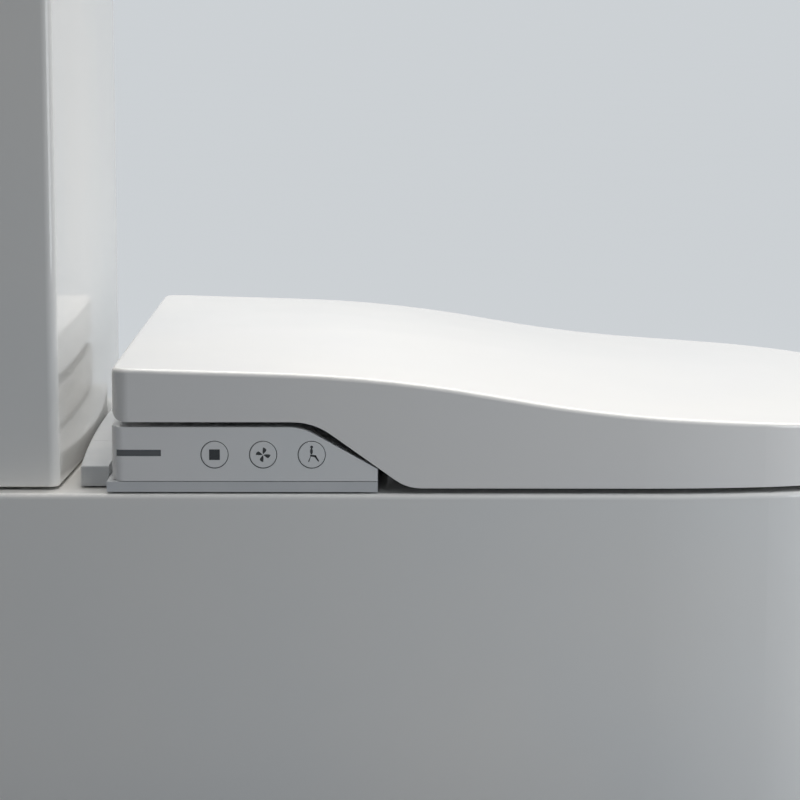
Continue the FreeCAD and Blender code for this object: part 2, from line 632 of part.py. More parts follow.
def cistern_shape():
    body = cistern_slab(place.z_cistern, size.cistern_height)
    foot = edges_near(body, lambda e: e.BoundBox.ZMax < place.z_cistern + 1)
    body = body.makeFillet(2, foot)
    body = body.cut(cistern_slab(place.z_cistern_floor, size.cistern_height, size.cistern_wall))
    low, high = place.z_cistern - 1, place.z_cistern_floor + 1
    holes = [upright_hole(size.valve_hole_radius, 0, place.y_cistern_middle, low, high)]
    holes.append(upright_hole(size.gasket_outer + 1, 0, place.y_cistern_middle, low,
                              place.z_rim + size.gasket_height))
    for side in (-1, 1):
        holes.append(upright_hole(size.cistern_bolt_hole, side * size.cistern_bolt_offset,
                                  place.y_cistern_middle, low, high))
    holes.append(upright_hole(size.fill_hole_radius, size.fill_offset, place.y_cistern_middle, low, high))
    for tool in holes:
        body = body.cut(tool)
    return body


node("cistern", shaped(cistern_shape()))
middle = ("0", "place.y_cistern_middle")
node("cistern_gasket", turned(
    ring_section("size.gasket_inner", "size.gasket_outer", "0", "size.gasket_height"), (*middle, "place.z_rim")))

bolt_head_z = "place.z_cistern_floor + size.washer_thickness"
bolt_low = f"place.z_deck_under - size.washer_thickness - size.nut_height - 4 - ({bolt_head_z})"
cistern_bolt = turned(
    [("0", bolt_low), ("size.cistern_bolt_radius", bolt_low), ("size.cistern_bolt_radius", "0"),
     ("size.bolt_head_radius", "0"), ("size.bolt_head_radius", "size.bolt_head_height - 1"),
     ("size.bolt_head_radius - 1", "size.bolt_head_height"), ("0", "size.bolt_head_height")],
    ("size.cistern_bolt_offset", "place.y_cistern_middle", bolt_head_z),
)
washer = ring_section("size.cistern_bolt_radius + 2 * size.thread_gap", "size.washer_radius",
                      "0", "size.washer_thickness")
bolt_spot = ("size.cistern_bolt_offset", "place.y_cistern_middle")
node("cistern_washers", group(
    pair(turned(washer, (*bolt_spot, "place.z_cistern_floor"))),
    pair(turned(washer, (*bolt_spot, "place.z_deck_under - size.washer_thickness")))))
wing_z = "place.z_deck_under - size.washer_thickness - size.nut_height"
wing = "size.nut_height * 2"
wing_nut = cut(
    fused(rod("size.wing_hub_radius", (*bolt_spot, wing_z), "size.nut_height"),
          block(("size.cistern_bolt_offset - size.bolt_head_height / 3",
                 "size.cistern_bolt_offset + size.bolt_head_height / 3"),
                (f"place.y_cistern_middle - {wing}", f"place.y_cistern_middle + {wing}"),
                (wing_z, f"{wing_z} + size.nut_height - 2"))),
    rod("size.cistern_bolt_radius + size.thread_gap", (*bolt_spot, f"{wing_z} - 1"), "2 * size.nut_height"),
)
node("cistern_bolts", group(pair(cistern_bolt), pair(wing_nut)))


def cistern_lid_shape():
    overhang = size.cistern_lid_overhang
    top = bulged(place.z_cistern_top, size.cistern_lid_height, place.cistern_half + overhang,
                 place.y_cistern - overhang, place.y_back, size.cistern_bulge, size.cistern_edge + overhang)
    rim = edges_near(top, lambda e: e.BoundBox.ZMin > place.z_cistern_lid - 1)
    top = top.makeFillet(3, rim)
    inset = size.cistern_wall + size.lid_lip_gap
    lip = cistern_slab(place.z_cistern_top - size.lid_lip_depth, size.lid_lip_depth + 1, inset)
    hollow = cistern_slab(place.z_cistern_top - size.lid_lip_depth - 1,
                          place.z_lid_under - place.z_cistern_top + size.lid_lip_depth + 1,
                          inset + size.cistern_lid_wall)
    hole = upright_hole(size.flush_hole_radius, 0, place.y_cistern_middle, place.z_lid_under - 1,
                        place.z_cistern_lid + 1)
    return top.fuse(lip).cut(hollow).cut(hole)


node("cistern_lid", shaped(cistern_lid_shape()))
bore = "size.flush_hole_radius - size.running_gap - size.bezel_wall"
bezel = [
    (bore, "-size.bezel_depth"), ("size.flush_hole_radius - size.running_gap", "-size.bezel_depth"),
    ("size.flush_hole_radius - size.running_gap", "0"), ("size.bezel_radius", "0"),
    ("size.bezel_radius", "size.bezel_rise - 1"), ("size.bezel_radius - 1", "size.bezel_rise"),
    (bore, "size.bezel_rise"),
]
node("flush_bezel", turned(bezel, (*middle, "place.z_cistern_lid")))

button_face = "place.z_cistern_lid + size.bezel_rise - 0.5"
button_low = f"{button_face} - size.button_height"
button_radius = f"{bore} - size.button_gap"
disc = [("0", "0"), (button_radius, "0"), (button_radius, "size.button_height - 1"),
        (f"{button_radius} - 1", "size.button_height"), ("0", "size.button_height")]
reach = ("-size.flush_hole_radius", "size.flush_hole_radius")
far = ("place.y_cistern_middle - size.flush_hole_radius", "place.y_cistern_middle + size.flush_hole_radius")
tall = (f"{button_low} - 1", f"{button_face} + 1")
node("flush_button_full", common(
    turned(disc, (*middle, button_low)),
    block(("size.button_split - 2 * size.flush_hole_radius", "size.button_split - size.button_gap / 2"), far, tall)))
node("flush_button_half", common(
    turned(disc, (*middle, button_low)),
    block(("size.button_split + size.button_gap / 2", "size.flush_hole_radius"), far, tall)))

# flush valve: seat and cage stay, the lift tube and its seal rise
node("flush_valve_body", cut(
    turned([("size.valve_bore", "-size.valve_thread_length"), ("size.valve_stem_radius",
            "-size.valve_thread_length"), ("size.valve_stem_radius", "0"), ("size.valve_seat_radius", "0"),
            ("size.valve_seat_radius", "size.valve_base_height - size.valve_seal_height"),
            ("size.cage_radius", "size.valve_base_height - size.valve_seal_height"),
            ("size.cage_radius", "size.cage_height"),
            ("size.lift_tube_radius + size.tube_gap", "size.cage_height"),
            ("size.lift_tube_radius + size.tube_gap", "size.cage_height - size.cage_wall"),
            ("size.cage_radius - size.cage_wall", "size.cage_height - size.cage_wall"),
            ("size.cage_radius - size.cage_wall", "size.valve_base_height - size.valve_seal_height"),
            ("size.valve_bore", "size.valve_base_height - 6")],
           (*middle, "place.z_cistern_floor")),
    block(("-2 * size.cage_radius", "2 * size.cage_radius"),
          ("place.y_cistern_middle - 0.6 * size.cage_radius", "place.y_cistern_middle + 0.6 * size.cage_radius"),
          ("place.valve_top", "place.z_cistern_floor + size.cage_height / 2")),
    block(("-0.6 * size.cage_radius", "0.6 * size.cage_radius"),
          ("place.y_cistern_middle - 2 * size.cage_radius", "place.y_cistern_middle + 2 * size.cage_radius"),
          ("place.valve_top", "place.z_cistern_floor + size.cage_height / 2")),
))
seal_z = "place.z_cistern_floor + size.valve_base_height - size.valve_seal_height"
node("flush_valve_seal", turned(
    ring_section("size.lift_tube_radius", "size.valve_seal_radius", "0.1", "size.valve_seal_height"),
    (*middle, seal_z)))
node("flush_valve_tube", turned(
    ring_section("size.lift_tube_radius - size.lift_tube_wall", "size.lift_tube_radius", "0",
                 "size.lift_tube_height"), (*middle, seal_z)))
valve_nut = turned(
    ring_section("size.valve_stem_radius + size.thread_gap", "size.valve_nut_radius", "0", "size.valve_nut_height"),
    (*middle, "place.z_rim + size.gasket_height - size.valve_nut_height"))

fill_spot = ("size.fill_offset", "place.y_cistern_middle")
tail_top = "-size.cistern_wall - size.nut_height - 0.5"
tail_low = f"{tail_top} - size.tail_length"
node("fill_valve", turned(
    [("0", tail_low), ("size.tail_radius - 1", tail_low), ("size.tail_radius", f"{tail_low} + 1"),
     ("size.tail_radius", tail_top), ("size.fill_hole_radius - size.fill_nut_gap", tail_top),
     ("size.fill_hole_radius - size.fill_nut_gap", "0"), ("size.fill_flange_radius", "0"),
     ("size.fill_flange_radius", "size.fill_flange_height"),
     ("size.fill_radius", "size.fill_flange_height"), ("size.fill_radius", "size.fill_column_height"),
     ("size.float_radius", "size.fill_column_height"),
     ("size.float_radius", "size.fill_column_height + size.nut_height"),
     ("0", "size.fill_column_height + 2 * size.nut_height")],
    (*fill_spot, "place.z_cistern_floor")))
fill_nut = turned(
    ring_section("size.fill_hole_radius", "size.fill_nut_radius", "-size.nut_height", "0"),
    (*fill_spot, "place.z_cistern"))
node("cistern_lock_nuts", group(valve_nut, fill_nut))
node("fill_valve_float", turned(
    ring_section("size.fill_radius + size.running_gap", "size.float_radius", "0", "size.float_height"),
    (*fill_spot, "place.z_cistern_floor + size.float_rest")))

# ------------------------------------------------------------------------------- base plate and what fixes the unit
plate_y = ("place.y_unit_front", "place.y_unit_back")
bolt_at = ("place.x_bolts", "place.y_bolts")
guide_room = "place.guide_outer + 3"
sink = cut(
    wide_block("place.panel_half", plate_y, ("place.z_pads", "place.z_plate")),
    wide_block(guide_room, ("place.y_unit_front - 1", "place.y_unit_front + 40"),
               ("place.z_pads - 1", "place.z_plate + 1")),
    pair(rod("size.seat_bolt_radius + size.head_gap", (*bolt_at, "place.z_pads - 1"), "2 * size.plate_height")),
    pair(rod("size.seat_bolt_head + size.head_gap", (*bolt_at, "place.z_plate - size.seat_bolt_sink"),
             "size.plate_height")),
)
rail = block(("size.rail_offset - size.rail_width / 2", "size.rail_offset + size.rail_width / 2"),
             ("place.y_lid - size.rail_start - size.rail_length", "place.y_lid - size.rail_start"),
             ("place.z_plate - 1", "place.z_plate + size.rail_height"))
node("base_plate", fused(sink, rail, mirrored(rail)))

pads = []
for x in ("place.panel_half - 2 * size.pad_radius", "size.inner_pad_offset"):
    for y in ("place.y_unit_back - 2 * size.pad_radius", "place.y_unit_front + 2 * size.pad_radius"):
        pads.append(rod("size.pad_radius", (x, y, "place.z_rim"), "size.pad_height"))
node("base_plate_pads", group(*pads, *[mirrored(pad) for pad in pads]))

bolt_top = "size.seat_bolt_length"
seat_bolt = turned(
    [("0", "0"), ("size.seat_bolt_radius", "0"), ("size.seat_bolt_radius", f"{bolt_top} - size.seat_bolt_sink"),
     ("size.seat_bolt_head", f"{bolt_top} - size.seat_bolt_sink"), ("size.seat_bolt_head", bolt_top),
     ("0", bolt_top)],
    (*bolt_at, "place.z_plate - size.seat_bolt_length"),
)
node("base_plate_bolts", pair(seat_bolt))
bush = turned(
    [("size.seat_bolt_radius", "-size.bush_height"), ("size.bush_radius", "-size.bush_height"),
     ("size.bush_radius", "0"), ("size.seat_bolt_hole", "0"), ("size.seat_bolt_hole", "size.deck_thickness - 2"),
     ("size.seat_bolt_radius", "size.deck_thickness - 2")],
    (*bolt_at, "place.z_deck_under"),
)
node("base_plate_bushes", pair(bush))
seat_nut = turned(
    ring_section("size.seat_bolt_radius", "size.seat_nut_radius", "-size.nut_height", "0"),
    (*bolt_at, "place.z_deck_under - size.bush_height"))
node("base_plate_nuts", pair(seat_nut))


def trim_shape():
    """The low piece behind the unit, convex towards the cistern."""
    front = place.y_unit_back + size.trim_gap
    rear = place.y_unit_back + size.trim_depth
    half = size.trim_half_width
    z = place.z_pads
    corners = [Vector(-half, front, z), Vector(-half, rear, z), Vector(half, rear, z), Vector(half, front, z)]
    wire = Part.Wire([
        Part.makeLine(corners[0], corners[1]),
        Part.Arc(corners[1], Vector(0, rear + size.trim_bulge, z), corners[2]).toShape(),
        Part.makeLine(corners[2], corners[3]),
        Part.makeLine(corners[3], corners[0]),
    ])
    slab = prism(wire, size.trim_height)
    ends = edges_near(slab, lambda e: e.BoundBox.ZLength > 1 and e.BoundBox.YMin > rear - 1)
    slab = slab.makeFillet(2.5, ends)
    top = edges_near(slab, lambda e: e.BoundBox.ZMin > z + size.trim_height - 1 and e.BoundBox.YMax > front + 1)
    return slab.makeFillet(1.2, top)


trim = trim_shape()
gap = size.trim_gap / 2
split = solid_box(size.cover_half_width, place.y_unit_back - 1, place.y_back, place.z_pads - 1, place.z_panel)
split_gap = solid_box(size.cover_half_width + gap, place.y_unit_back - 1, place.y_back, place.z_pads - 1,
                      place.z_panel)
node("rear_trim", shaped(trim.cut(split_gap)))
node("connection_cover", shaped(trim.common(split)))


# -------------------------------------------------------------------------------------------------- unit housing
def panel_side_points(gain, low, rear_gain=0.0):
    """The unit's profile from the side: level top, then the slope down to the front edge; gain insets it."""
    top = size.panel_top - gain
    front = size.panel_reach
    nose = size.panel_nose - gain
    slope = (size.panel_top - size.panel_nose) / (size.panel_reach - size.slope_start)
    start = size.slope_start - gain * slope / 2
    end = front - gain
    return [(-size.plate_rear - 1 + rear_gain, low), (-size.plate_rear - 1 + rear_gain, top),
            (start, top, size.panel_bend), (end, nose), (end, low)]


unit_low = place.z_unit - place.z_rim


def unit_plan(inset, z, height):
    """The unit seen from above, with rounded rear corners."""
    half = place.panel_half - inset
    rear, front = place.y_unit_back - inset, place.y_unit_front
    slab = solid_box(half, front, rear, z, z + height)
    corners = edges_near(slab, lambda e: e.BoundBox.ZLength > height - 1 and e.BoundBox.YMin > rear - 1)
    return slab.makeFillet(max(size.rear_corner - inset, 1), corners)


def panel_skin():
    """Both side panels with their short return round the rear corner."""
    height = size.panel_top + 1
    outer = unit_plan(0, place.z_unit, height)
    inner = unit_plan(size.panel_wall, place.z_unit - 1, height + 2)
    middle_box = solid_box(place.panel_half - size.rear_corner - 3, place.y_unit_front - 1, place.y_unit_back + 1,
                           place.z_unit - 1, place.z_panel + 2)
    side = side_prism(panel_side_points(0, unit_low), place.panel_half + 1)
    return outer.cut(inner).cut(middle_box).common(side)


def strip_band(gap):
    """The level band that the indicator window fills."""
    return solid_box(place.panel_half + 1, place.y_lid - size.strip_reach - gap, place.y_unit_back + 1,
                     place.z_rim + size.strip_low - gap, place.z_rim + size.strip_low + size.strip_height + gap)


def side_port(radius, forward):
    """A round hole through the unit's left side, for the water inlet or the cable."""
    return Part.makeCylinder(radius, size.rear_corner, Vector(place.panel_half + 1, place.y_lid - forward,
                                                              place.z_inlet), Vector(-1, 0, 0))


def side_slot(half_width, forward):
    """A square slot in the housing's left wall, open to the seam, so that a fitting drops in before the cover."""
    top = max(place.z_inlet + half_width, place.z_rim + size.panel_top - size.seam_drop)
    return Part.makeBox(size.rear_corner, 2 * half_width, top - place.z_inlet + half_width,
                        Vector(place.panel_half + 1 - size.rear_corner, place.y_lid - forward - half_width,
                               place.z_inlet - half_width))


skin = panel_skin()
right_half = Part.makeBox(size.lid_width, size.lid_length, size.lid_width,
                          Vector(-size.lid_width, place.y_nose, place.z_rim))
left_half = right_half.translated(Vector(size.lid_width, 0, 0))
right_skin = skin.common(right_half)
panel_hole = size.panel_button_radius + size.panel_button_gap
right_panel = right_skin.cut(strip_band(size.window_gap))
button_places = [place.y_lid - size.first_button - i * size.button_pitch for i in range(3)]
for y in button_places:
    right_panel = right_panel.cut(Part.makeCylinder(panel_hole, 20, Vector(-place.panel_half - 5, y,
                                                                           place.z_buttons), Vector(1, 0, 0)))
release_hole = Part.makeCylinder(size.release_radius + size.panel_button_gap, 20,
                                 Vector(place.panel_half + 5, place.y_release, place.z_release), Vector(-1, 0, 0))
node("side_panel_right", shaped(right_panel))
node("indicator_window", shaped(right_skin.common(strip_band(0))))
left_panel = skin.common(left_half).cut(release_hole)
left_panel = left_panel.cut(side_port(size.port_radius, size.inlet_forward))
left_panel = left_panel.cut(side_port(size.gland_radius + size.port_gap, size.gland_forward))
node("side_panel_left", shaped(left_panel))


def raised_points(gain):
    """The raised middle of the housing, whose top follows the lid's inside."""
    low = unit_low + gain
    points = [(size.raised_start + gain, low)]
    count = 5
    for i in range(count):
        f = size.raised_start + gain + (size.panel_reach - size.raised_start - 2 * gain) * i / (count - 1)
        points.append((f, lid_top(f) - size.lid_wall - size.raised_gap - gain))
    points.append((size.panel_reach - gain, low))
    return points


def lid_top(forward):
    """Height of the lid's top edge above the rim: level, then steeper to the waist, then easing to the front."""
    knots = [(0, size.rear_slope), (size.waist_start, size.rear_slope), (size.waist_middle, size.waist_slope),
             (size.waist_end, size.front_slope), (size.lid_length + 50, size.front_slope)]
    height = size.lid_rear_height
    for (start, slope), (end, end_slope) in zip(knots, knots[1:]):
        if forward <= start:
            break
        run = min(forward, end) - start
        here = slope + (end_slope - slope) * run / (end - start)
        height -= run * (slope + here) / 2
    return height


def across(radius, x_low, x_high):
    """A round bar on the hinge line."""
    return Part.makeCylinder(radius, x_high - x_low, Vector(x_low, place.y_hinge, place.z_hinge), Vector(1, 0, 0))


def nozzle_rod(radius, start, end):
    lean = math.radians(size.nozzle_slope)
    rise = Vector(0, math.cos(lean), math.sin(lean))
    origin = Vector(0, place.y_unit_front, place.z_nozzle)
    return Part.makeCylinder(radius, end - start, origin + rise * start, rise)


def housing_blank(gain):
    """The housing's outer form, or with a gain what lies inside its walls."""
    base = unit_plan(size.panel_wall + gain, place.z_unit + gain * 0.999, 100)
    base = base.common(side_prism(panel_side_points(gain, unit_low + gain), place.housing_half + 1))
    raised = side_prism(raised_points(gain), size.raised_half_width - gain)
    return base, raised


def housing_parts():
    base, raised = housing_blank(0)
    base_in, raised_in = housing_blank(size.housing_wall)
    room = base_in.fuse(raised_in.common(solid_box(400, place.y_unit_front + size.housing_wall, place.y_raised
                                                   - size.housing_wall, place.z_rim, place.z_rim + 200)))
    neck_top = place.z_hinge + size.barrel_radius - 1
    barrels = []
    for side in (-1, 1):
        x_low, x_high = sorted((side * (size.barrel_end - size.damper_length - 8), side * size.barrel_end))
        barrel = across(size.barrel_radius, x_low, x_high)
        neck = Part.makeBox(x_high - x_low, place.y_hinge - place.y_raised + size.housing_wall,
                            neck_top - place.z_hinge + size.neck_low - 1,
                            Vector(x_low, place.y_raised - size.housing_wall, place.z_hinge - size.neck_low + 1))
        neck = neck.common(solid_box(size.raised_half_width, place.y_raised - 10, place.y_hinge, place.z_rim,
                                     place.z_rim + 200))
        barrels.append(barrel.fuse(neck))
    shell = base.fuse(raised).cut(room)
    for barrel in barrels:
        shell = shell.fuse(barrel)
    for side in (-1, 1):
        x_low, x_high = sorted((side * (size.barrel_end - size.damper_length), side * (size.barrel_end + 1)))
        shell = shell.cut(across(size.damper_radius + size.damper_gap, x_low, x_high))
    # openings: nozzle, dryer, inlet, gland, sensor and the plate's rails
    flap_x = -size.flap_offset - size.flap_width / 2 - size.flap_gap
    y_front = place.y_unit_front
    tools = [
        nozzle_rod(place.guide_outer + size.guide_seat_gap, -20, size.nozzle_length + 8),
        Part.makeBox(size.flap_width + 2 * size.flap_gap, 8, size.flap_height + 2 * size.flap_gap,
                     Vector(flap_x, y_front - 2, place.z_flap - size.flap_gap)),
        Part.makeCylinder(size.sensor_radius + size.guide_seat_gap, 12,
                          Vector(size.sensor_offset, y_front - 2, place.z_rim + size.sensor_level), Vector(0, 1, 0)),
        side_slot(size.port_radius, size.inlet_forward),
        side_slot(size.gland_neck + size.port_gap, size.gland_forward),
    ]
    for side in (-1, 1):
        tools.append(Part.makeBox(size.rail_width + 2 * size.rail_gap,
                                  size.rail_start + size.rail_length + size.plate_rear + 2,
                                  size.floor_thickness + 1,
                                  Vector(side * size.rail_offset - size.rail_width / 2 - size.rail_gap,
                                         place.y_lid - size.rail_start - size.rail_length - 1, place.z_unit - 0.5)))
        tools.append(Part.makeCylinder(size.stem_radius + 6, 8, Vector(side * place.housing_half + side * 2,
                                       place.y_release, place.z_release), Vector(-side, 0, 0)))
    for y in button_places:
        tools.append(Part.makeCylinder(size.stem_radius + 1, 8, Vector(-place.housing_half - 2, y,
                                                                       place.z_buttons), Vector(1, 0, 0)))
    for tool in tools:
        shell = shell.cut(tool)
    seam = place.z_rim + size.panel_top - size.seam_drop
    low = shell.common(solid_box(400, y_front - 20, place.y_unit_back + 20, place.z_rim - 5, seam))
    high = shell.common(solid_box(400, y_front - 20, place.y_unit_back + 60, seam, place.z_rim + 200))
    return low, high


housing_low, housing_high = housing_parts()
node("housing_base", shaped(housing_low))
node("housing_cover", shaped(housing_high))

# push buttons: a face in the panel and a stem that reaches the switch
names = ("button_stop", "button_dry", "button_wash")
for i, name in enumerate(names):
    y = f"place.y_lid - size.first_button - {i} * size.button_pitch"
    cap_height = "size.panel_wall"
    body = turned(
        [("0", "0"), ("size.panel_button_radius - 0.3", "0"), ("size.panel_button_radius", "0.3"),
         ("size.panel_button_radius", "size.button_cap"), ("size.stem_radius", "size.button_cap"),
         ("size.stem_radius", f"{cap_height} + size.stem_length"), ("0", f"{cap_height} + size.stem_length")],
        ("-place.x_button_face", y, "place.z_buttons"), "x",
    )
    node(name, body)
release = turned(
    [("0", "0"), ("size.stem_radius", "0"), ("size.stem_radius", "size.stem_length"),
     ("size.release_radius", "size.stem_length"), ("size.release_radius", "size.stem_length + 1.6"),
     ("size.release_radius - 0.4", "size.stem_length + 2"), ("0", "size.stem_length + 2")],
    ("place.panel_half - size.stem_length - 2", "place.y_release", "place.z_release"), "x",
)
node("release_button", release)
board_x = "-place.housing_half + size.housing_wall + 4 * size.board_thickness"
button_board = block(
    (board_x, f"{board_x} + size.board_thickness"),
    ("place.y_button_middle - size.button_pitch - size.board_edge",
     "place.y_button_middle + size.button_pitch + size.board_edge"),
    ("place.z_floor + 1", "place.z_buttons + size.board_rise"))

# ------------------------------------------------------------------------------------------------ inside the unit
def inside_block(x, forward, up):
    """A box placed by formulas across, forward from the lid's back and up from the housing's floor."""
    return block(x, (f"place.y_lid - ({forward[1]})", f"place.y_lid - ({forward[0]})"),
                 (f"place.z_floor + ({up[0]})", f"place.z_floor + ({up[1]})"))


switches = [rod("size.stem_radius - 0.5",
                (f"{board_x} - size.switch_height", f"place.y_lid - size.first_button - {i} * size.button_pitch",
                 "place.z_buttons"), "size.switch_height", "x") for i in range(3)]
button_board = fused(button_board, *switches)

side_room = ("size.side_bay_start", "size.side_bay_start + size.side_bay_width")
node("power_supply", inside_block(side_room, ("size.supply_rear", "size.supply_rear + size.supply_length"),
                                  ("0", "size.supply_height")))
board_up = "size.board_standoff"
control = [
    inside_block(("-size.side_bay_start - size.side_bay_width", "-size.side_bay_start"),
                 ("size.bay_rear", "size.bay_rear + size.board_length"),
                 (board_up, f"{board_up} + size.board_thickness")),
]
for spot in (0.2, 0.5, 0.8):
    control.append(inside_block(
        ("-size.side_bay_start - 0.7 * size.side_bay_width", "-size.side_bay_start - 0.3 * size.side_bay_width"),
        (f"size.bay_rear + {spot} * size.board_length - 6", f"size.bay_rear + {spot} * size.board_length + 6"),
        (f"{board_up} + size.board_thickness", f"{board_up} + size.board_thickness + size.chip_height")))
for spot in (0.1, 0.9):
    control.append(rod(
        "size.stem_radius",
        ("-size.side_bay_start - 0.5 * size.side_bay_width",
         f"place.y_lid - size.bay_rear - {spot} * size.board_length", "place.z_floor"), board_up))
node("circuit_boards", group(button_board, fused(*control)))

heater_x = ("size.heater_offset - size.heater_width / 2", "size.heater_offset + size.heater_width / 2")
heater_rear = "size.panel_reach - size.heater_front_gap - size.heater_length"
node("water_heater", inside_block(heater_x, (heater_rear, f"{heater_rear} + size.heater_length"),
                                  ("0", "size.heater_height")))
inlet_y = "place.y_lid - size.inlet_forward"
valve_face = "place.panel_inner - size.inlet_length + size.panel_wall - size.inlet_gap"
valve_block = block((f"{valve_face} - size.valve_block_width", valve_face),
                    (f"{inlet_y} - size.valve_block_length / 2", f"{inlet_y} + size.valve_block_length / 2"),
                    ("place.z_floor", "place.z_floor + size.valve_block_height"))
node("inlet_valve", cut(valve_block, rod(
    "size.tube_bore", (f"{valve_face} - size.valve_block_width / 2", inlet_y, "place.z_inlet"),
    "size.valve_block_width", "x")))
inlet = turned(
    [("size.inlet_bore", "0"), ("size.inlet_radius + 1", "0"), ("size.inlet_radius + 1", "1.5"),
     ("size.inlet_radius", "1.5"), ("size.inlet_radius", "size.inlet_length - 1"),
     ("size.inlet_radius - 1", "size.inlet_length"), ("size.inlet_bore", "size.inlet_length")],
    (valve_face, inlet_y, "place.z_inlet"), "x",
)
node("water_inlet", inlet)
gland = turned(
    [("size.gland_bore", "-size.housing_wall - size.gland_depth"),
     ("size.gland_neck", "-size.housing_wall - size.gland_depth"), ("size.gland_neck", "0"),
     ("size.gland_radius", "0"), ("size.gland_radius", "size.panel_wall - 0.5"),
     ("size.gland_radius - 0.5", "size.panel_wall"), ("size.gland_bore", "size.panel_wall")],
    ("place.panel_inner", "place.y_lid - size.gland_forward", "place.z_inlet"), "x",
)
node("power_gland", gland)

# blower: a scroll with a wheel inside, and a duct to the flap
blower_at = ("-size.blower_offset", "place.y_blower")
scroll = fused(
    rod("size.blower_radius", (*blower_at, "place.z_blower"), "size.blower_height"),
    block(("-size.flap_offset - size.flap_width / 2 - size.blower_wall",
           "-size.flap_offset + size.flap_width / 2 + size.blower_wall"),
          ("place.y_blower - size.blower_radius", "place.y_blower"),
          ("place.z_blower", "place.z_blower + size.blower_height")),
)
scroll_room = fused(
    rod("size.blower_radius - size.blower_wall", (*blower_at, "place.z_blower + size.blower_wall"),
        "size.blower_height - 2 * size.blower_wall"),
    block(("-size.flap_offset - size.flap_width / 2", "-size.flap_offset + size.flap_width / 2"),
          ("place.y_blower - size.blower_radius - 1", "place.y_blower - size.blower_wall"),
          ("place.z_blower + size.blower_wall", "place.z_blower + size.blower_height - size.blower_wall")),
)
eye = rod("0.5 * size.impeller_radius", (*blower_at, "place.z_blower + size.blower_height / 2"),
          "size.blower_height")
shaft_hole = rod("size.stem_radius + size.running_gap", (*blower_at, "place.z_blower - 1"),
                 "size.blower_height / 2")
node("blower_housing", cut(scroll, scroll_room, eye, shaft_hole))
wheel_z = "place.z_blower + 2 * size.blower_wall"
wheel_height = "size.blower_height - 4 * size.blower_wall"
blades = []
for i in range(int(size.impeller_blades)):
    blade = doc.addObject("Part::Box", "Blade")
    blade.Placement = Placement(Vector(), Rotation(UP, 360 * i / size.impeller_blades))
    bind(blade, Length="size.impeller_radius", Width="size.blade_thickness", Height=wheel_height,
         Placement_Base_x="-size.blower_offset", Placement_Base_y="place.y_blower", Placement_Base_z=wheel_z)
    blades.append(blade)
hollow = rod("0.62 * size.impeller_radius", (*blower_at, f"{wheel_z} + size.blade_thickness"), wheel_height)
disc_plate = rod("size.impeller_radius", (*blower_at, wheel_z), "size.blade_thickness")
hub = rod("2 * size.stem_radius", (*blower_at, wheel_z), "0.6 * size.blower_height")
stub = rod("size.stem_radius", (*blower_at, "place.z_floor + 1"), f"{wheel_z} - place.z_floor")
node("blower_impeller", fused(cut(fused(*blades), hollow), disc_plate, hub, stub))

duct_front = ("place.y_unit_front + size.housing_wall", "place.y_blower - size.blower_radius")
duct_z = ("place.z_flap", "place.z_blower + size.blower_height")
wide = "size.flap_width / 2 + size.blower_wall"
duct = cut(
    block((f"-size.flap_offset - {wide}", f"-size.flap_offset + {wide}"), duct_front, ("place.z_floor", duct_z[1])),
    block(("-size.flap_offset - size.flap_width / 2", "-size.flap_offset + size.flap_width / 2"),
          (f"{duct_front[0]} - 1", f"{duct_front[1]} + 1"),
          ("place.z_floor + size.blower_wall", f"{duct_z[1]} - size.blower_wall")),
)
node("air_duct", duct)
flap_pin_z = "place.z_flap + size.flap_height - size.flap_thickness / 2"
flap_leaf = block(("-size.flap_offset - size.flap_width / 2", "-size.flap_offset + size.flap_width / 2"),
                  ("place.y_unit_front", "place.y_flap"), ("place.z_flap", flap_pin_z))
flap_pin = rod("size.flap_thickness / 2",
               ("-size.flap_offset - size.flap_width / 2", "(place.y_unit_front + place.y_flap) / 2", flap_pin_z),
               "size.flap_width", "x")
node("dryer_flap", fused(flap_leaf, flap_pin))

# nozzle: a guide tube, the arm that slides in it and the tip that closes the hole
node("nozzle_guide", cut(
    leaning_rod("place.guide_outer", "0.5", "size.nozzle_length + size.guide_wall"),
    leaning_rod("place.guide_inner", "-1", "size.nozzle_length + 0.5"),
    wide_block("2 * size.nozzle_radius", ("place.y_unit_front - size.nozzle_length", "place.y_unit_front"),
               ("place.z_rim - 20", "place.z_rim + 60")),
    wide_block("2 * size.nozzle_radius", ("place.y_unit_front - 1", "place.y_unit_front + size.nozzle_length / 2"),
               ("place.z_rim - 20", "place.z_pads")),
))
node("nozzle_arm", cut(
    leaning_rod("size.nozzle_radius", "size.nozzle_tip_length", "size.nozzle_length"),
    leaning_rod("size.nozzle_bore", "size.nozzle_tip_length - 1", "size.nozzle_length - 4"),
))
node("nozzle_tip", cut(
    leaning_rod("size.nozzle_radius", "0", "size.nozzle_tip_length"),
    leaning_rod("size.nozzle_bore", "4", "size.nozzle_tip_length + 1"),
))
motor_z = "size.motor_level"
node("nozzle_motor", fused(
    rod("size.motor_radius", ("place.guide_outer + size.motor_gap", "place.y_lid - size.motor_forward",
                              f"place.z_floor + {motor_z}"), "size.motor_length", "x"),
    inside_block(("place.guide_outer + size.motor_gap",
                  "place.guide_outer + size.motor_gap + size.board_thickness"),
                 ("size.motor_forward - size.motor_radius", "size.motor_forward + size.motor_radius"),
                 ("0", f"{motor_z} + size.motor_radius"))))
node("presence_sensor", rod(
    "size.sensor_radius",
    ("size.sensor_offset", "place.y_unit_front", "place.z_rim + size.sensor_level"), "size.housing_wall + 4", "y"))


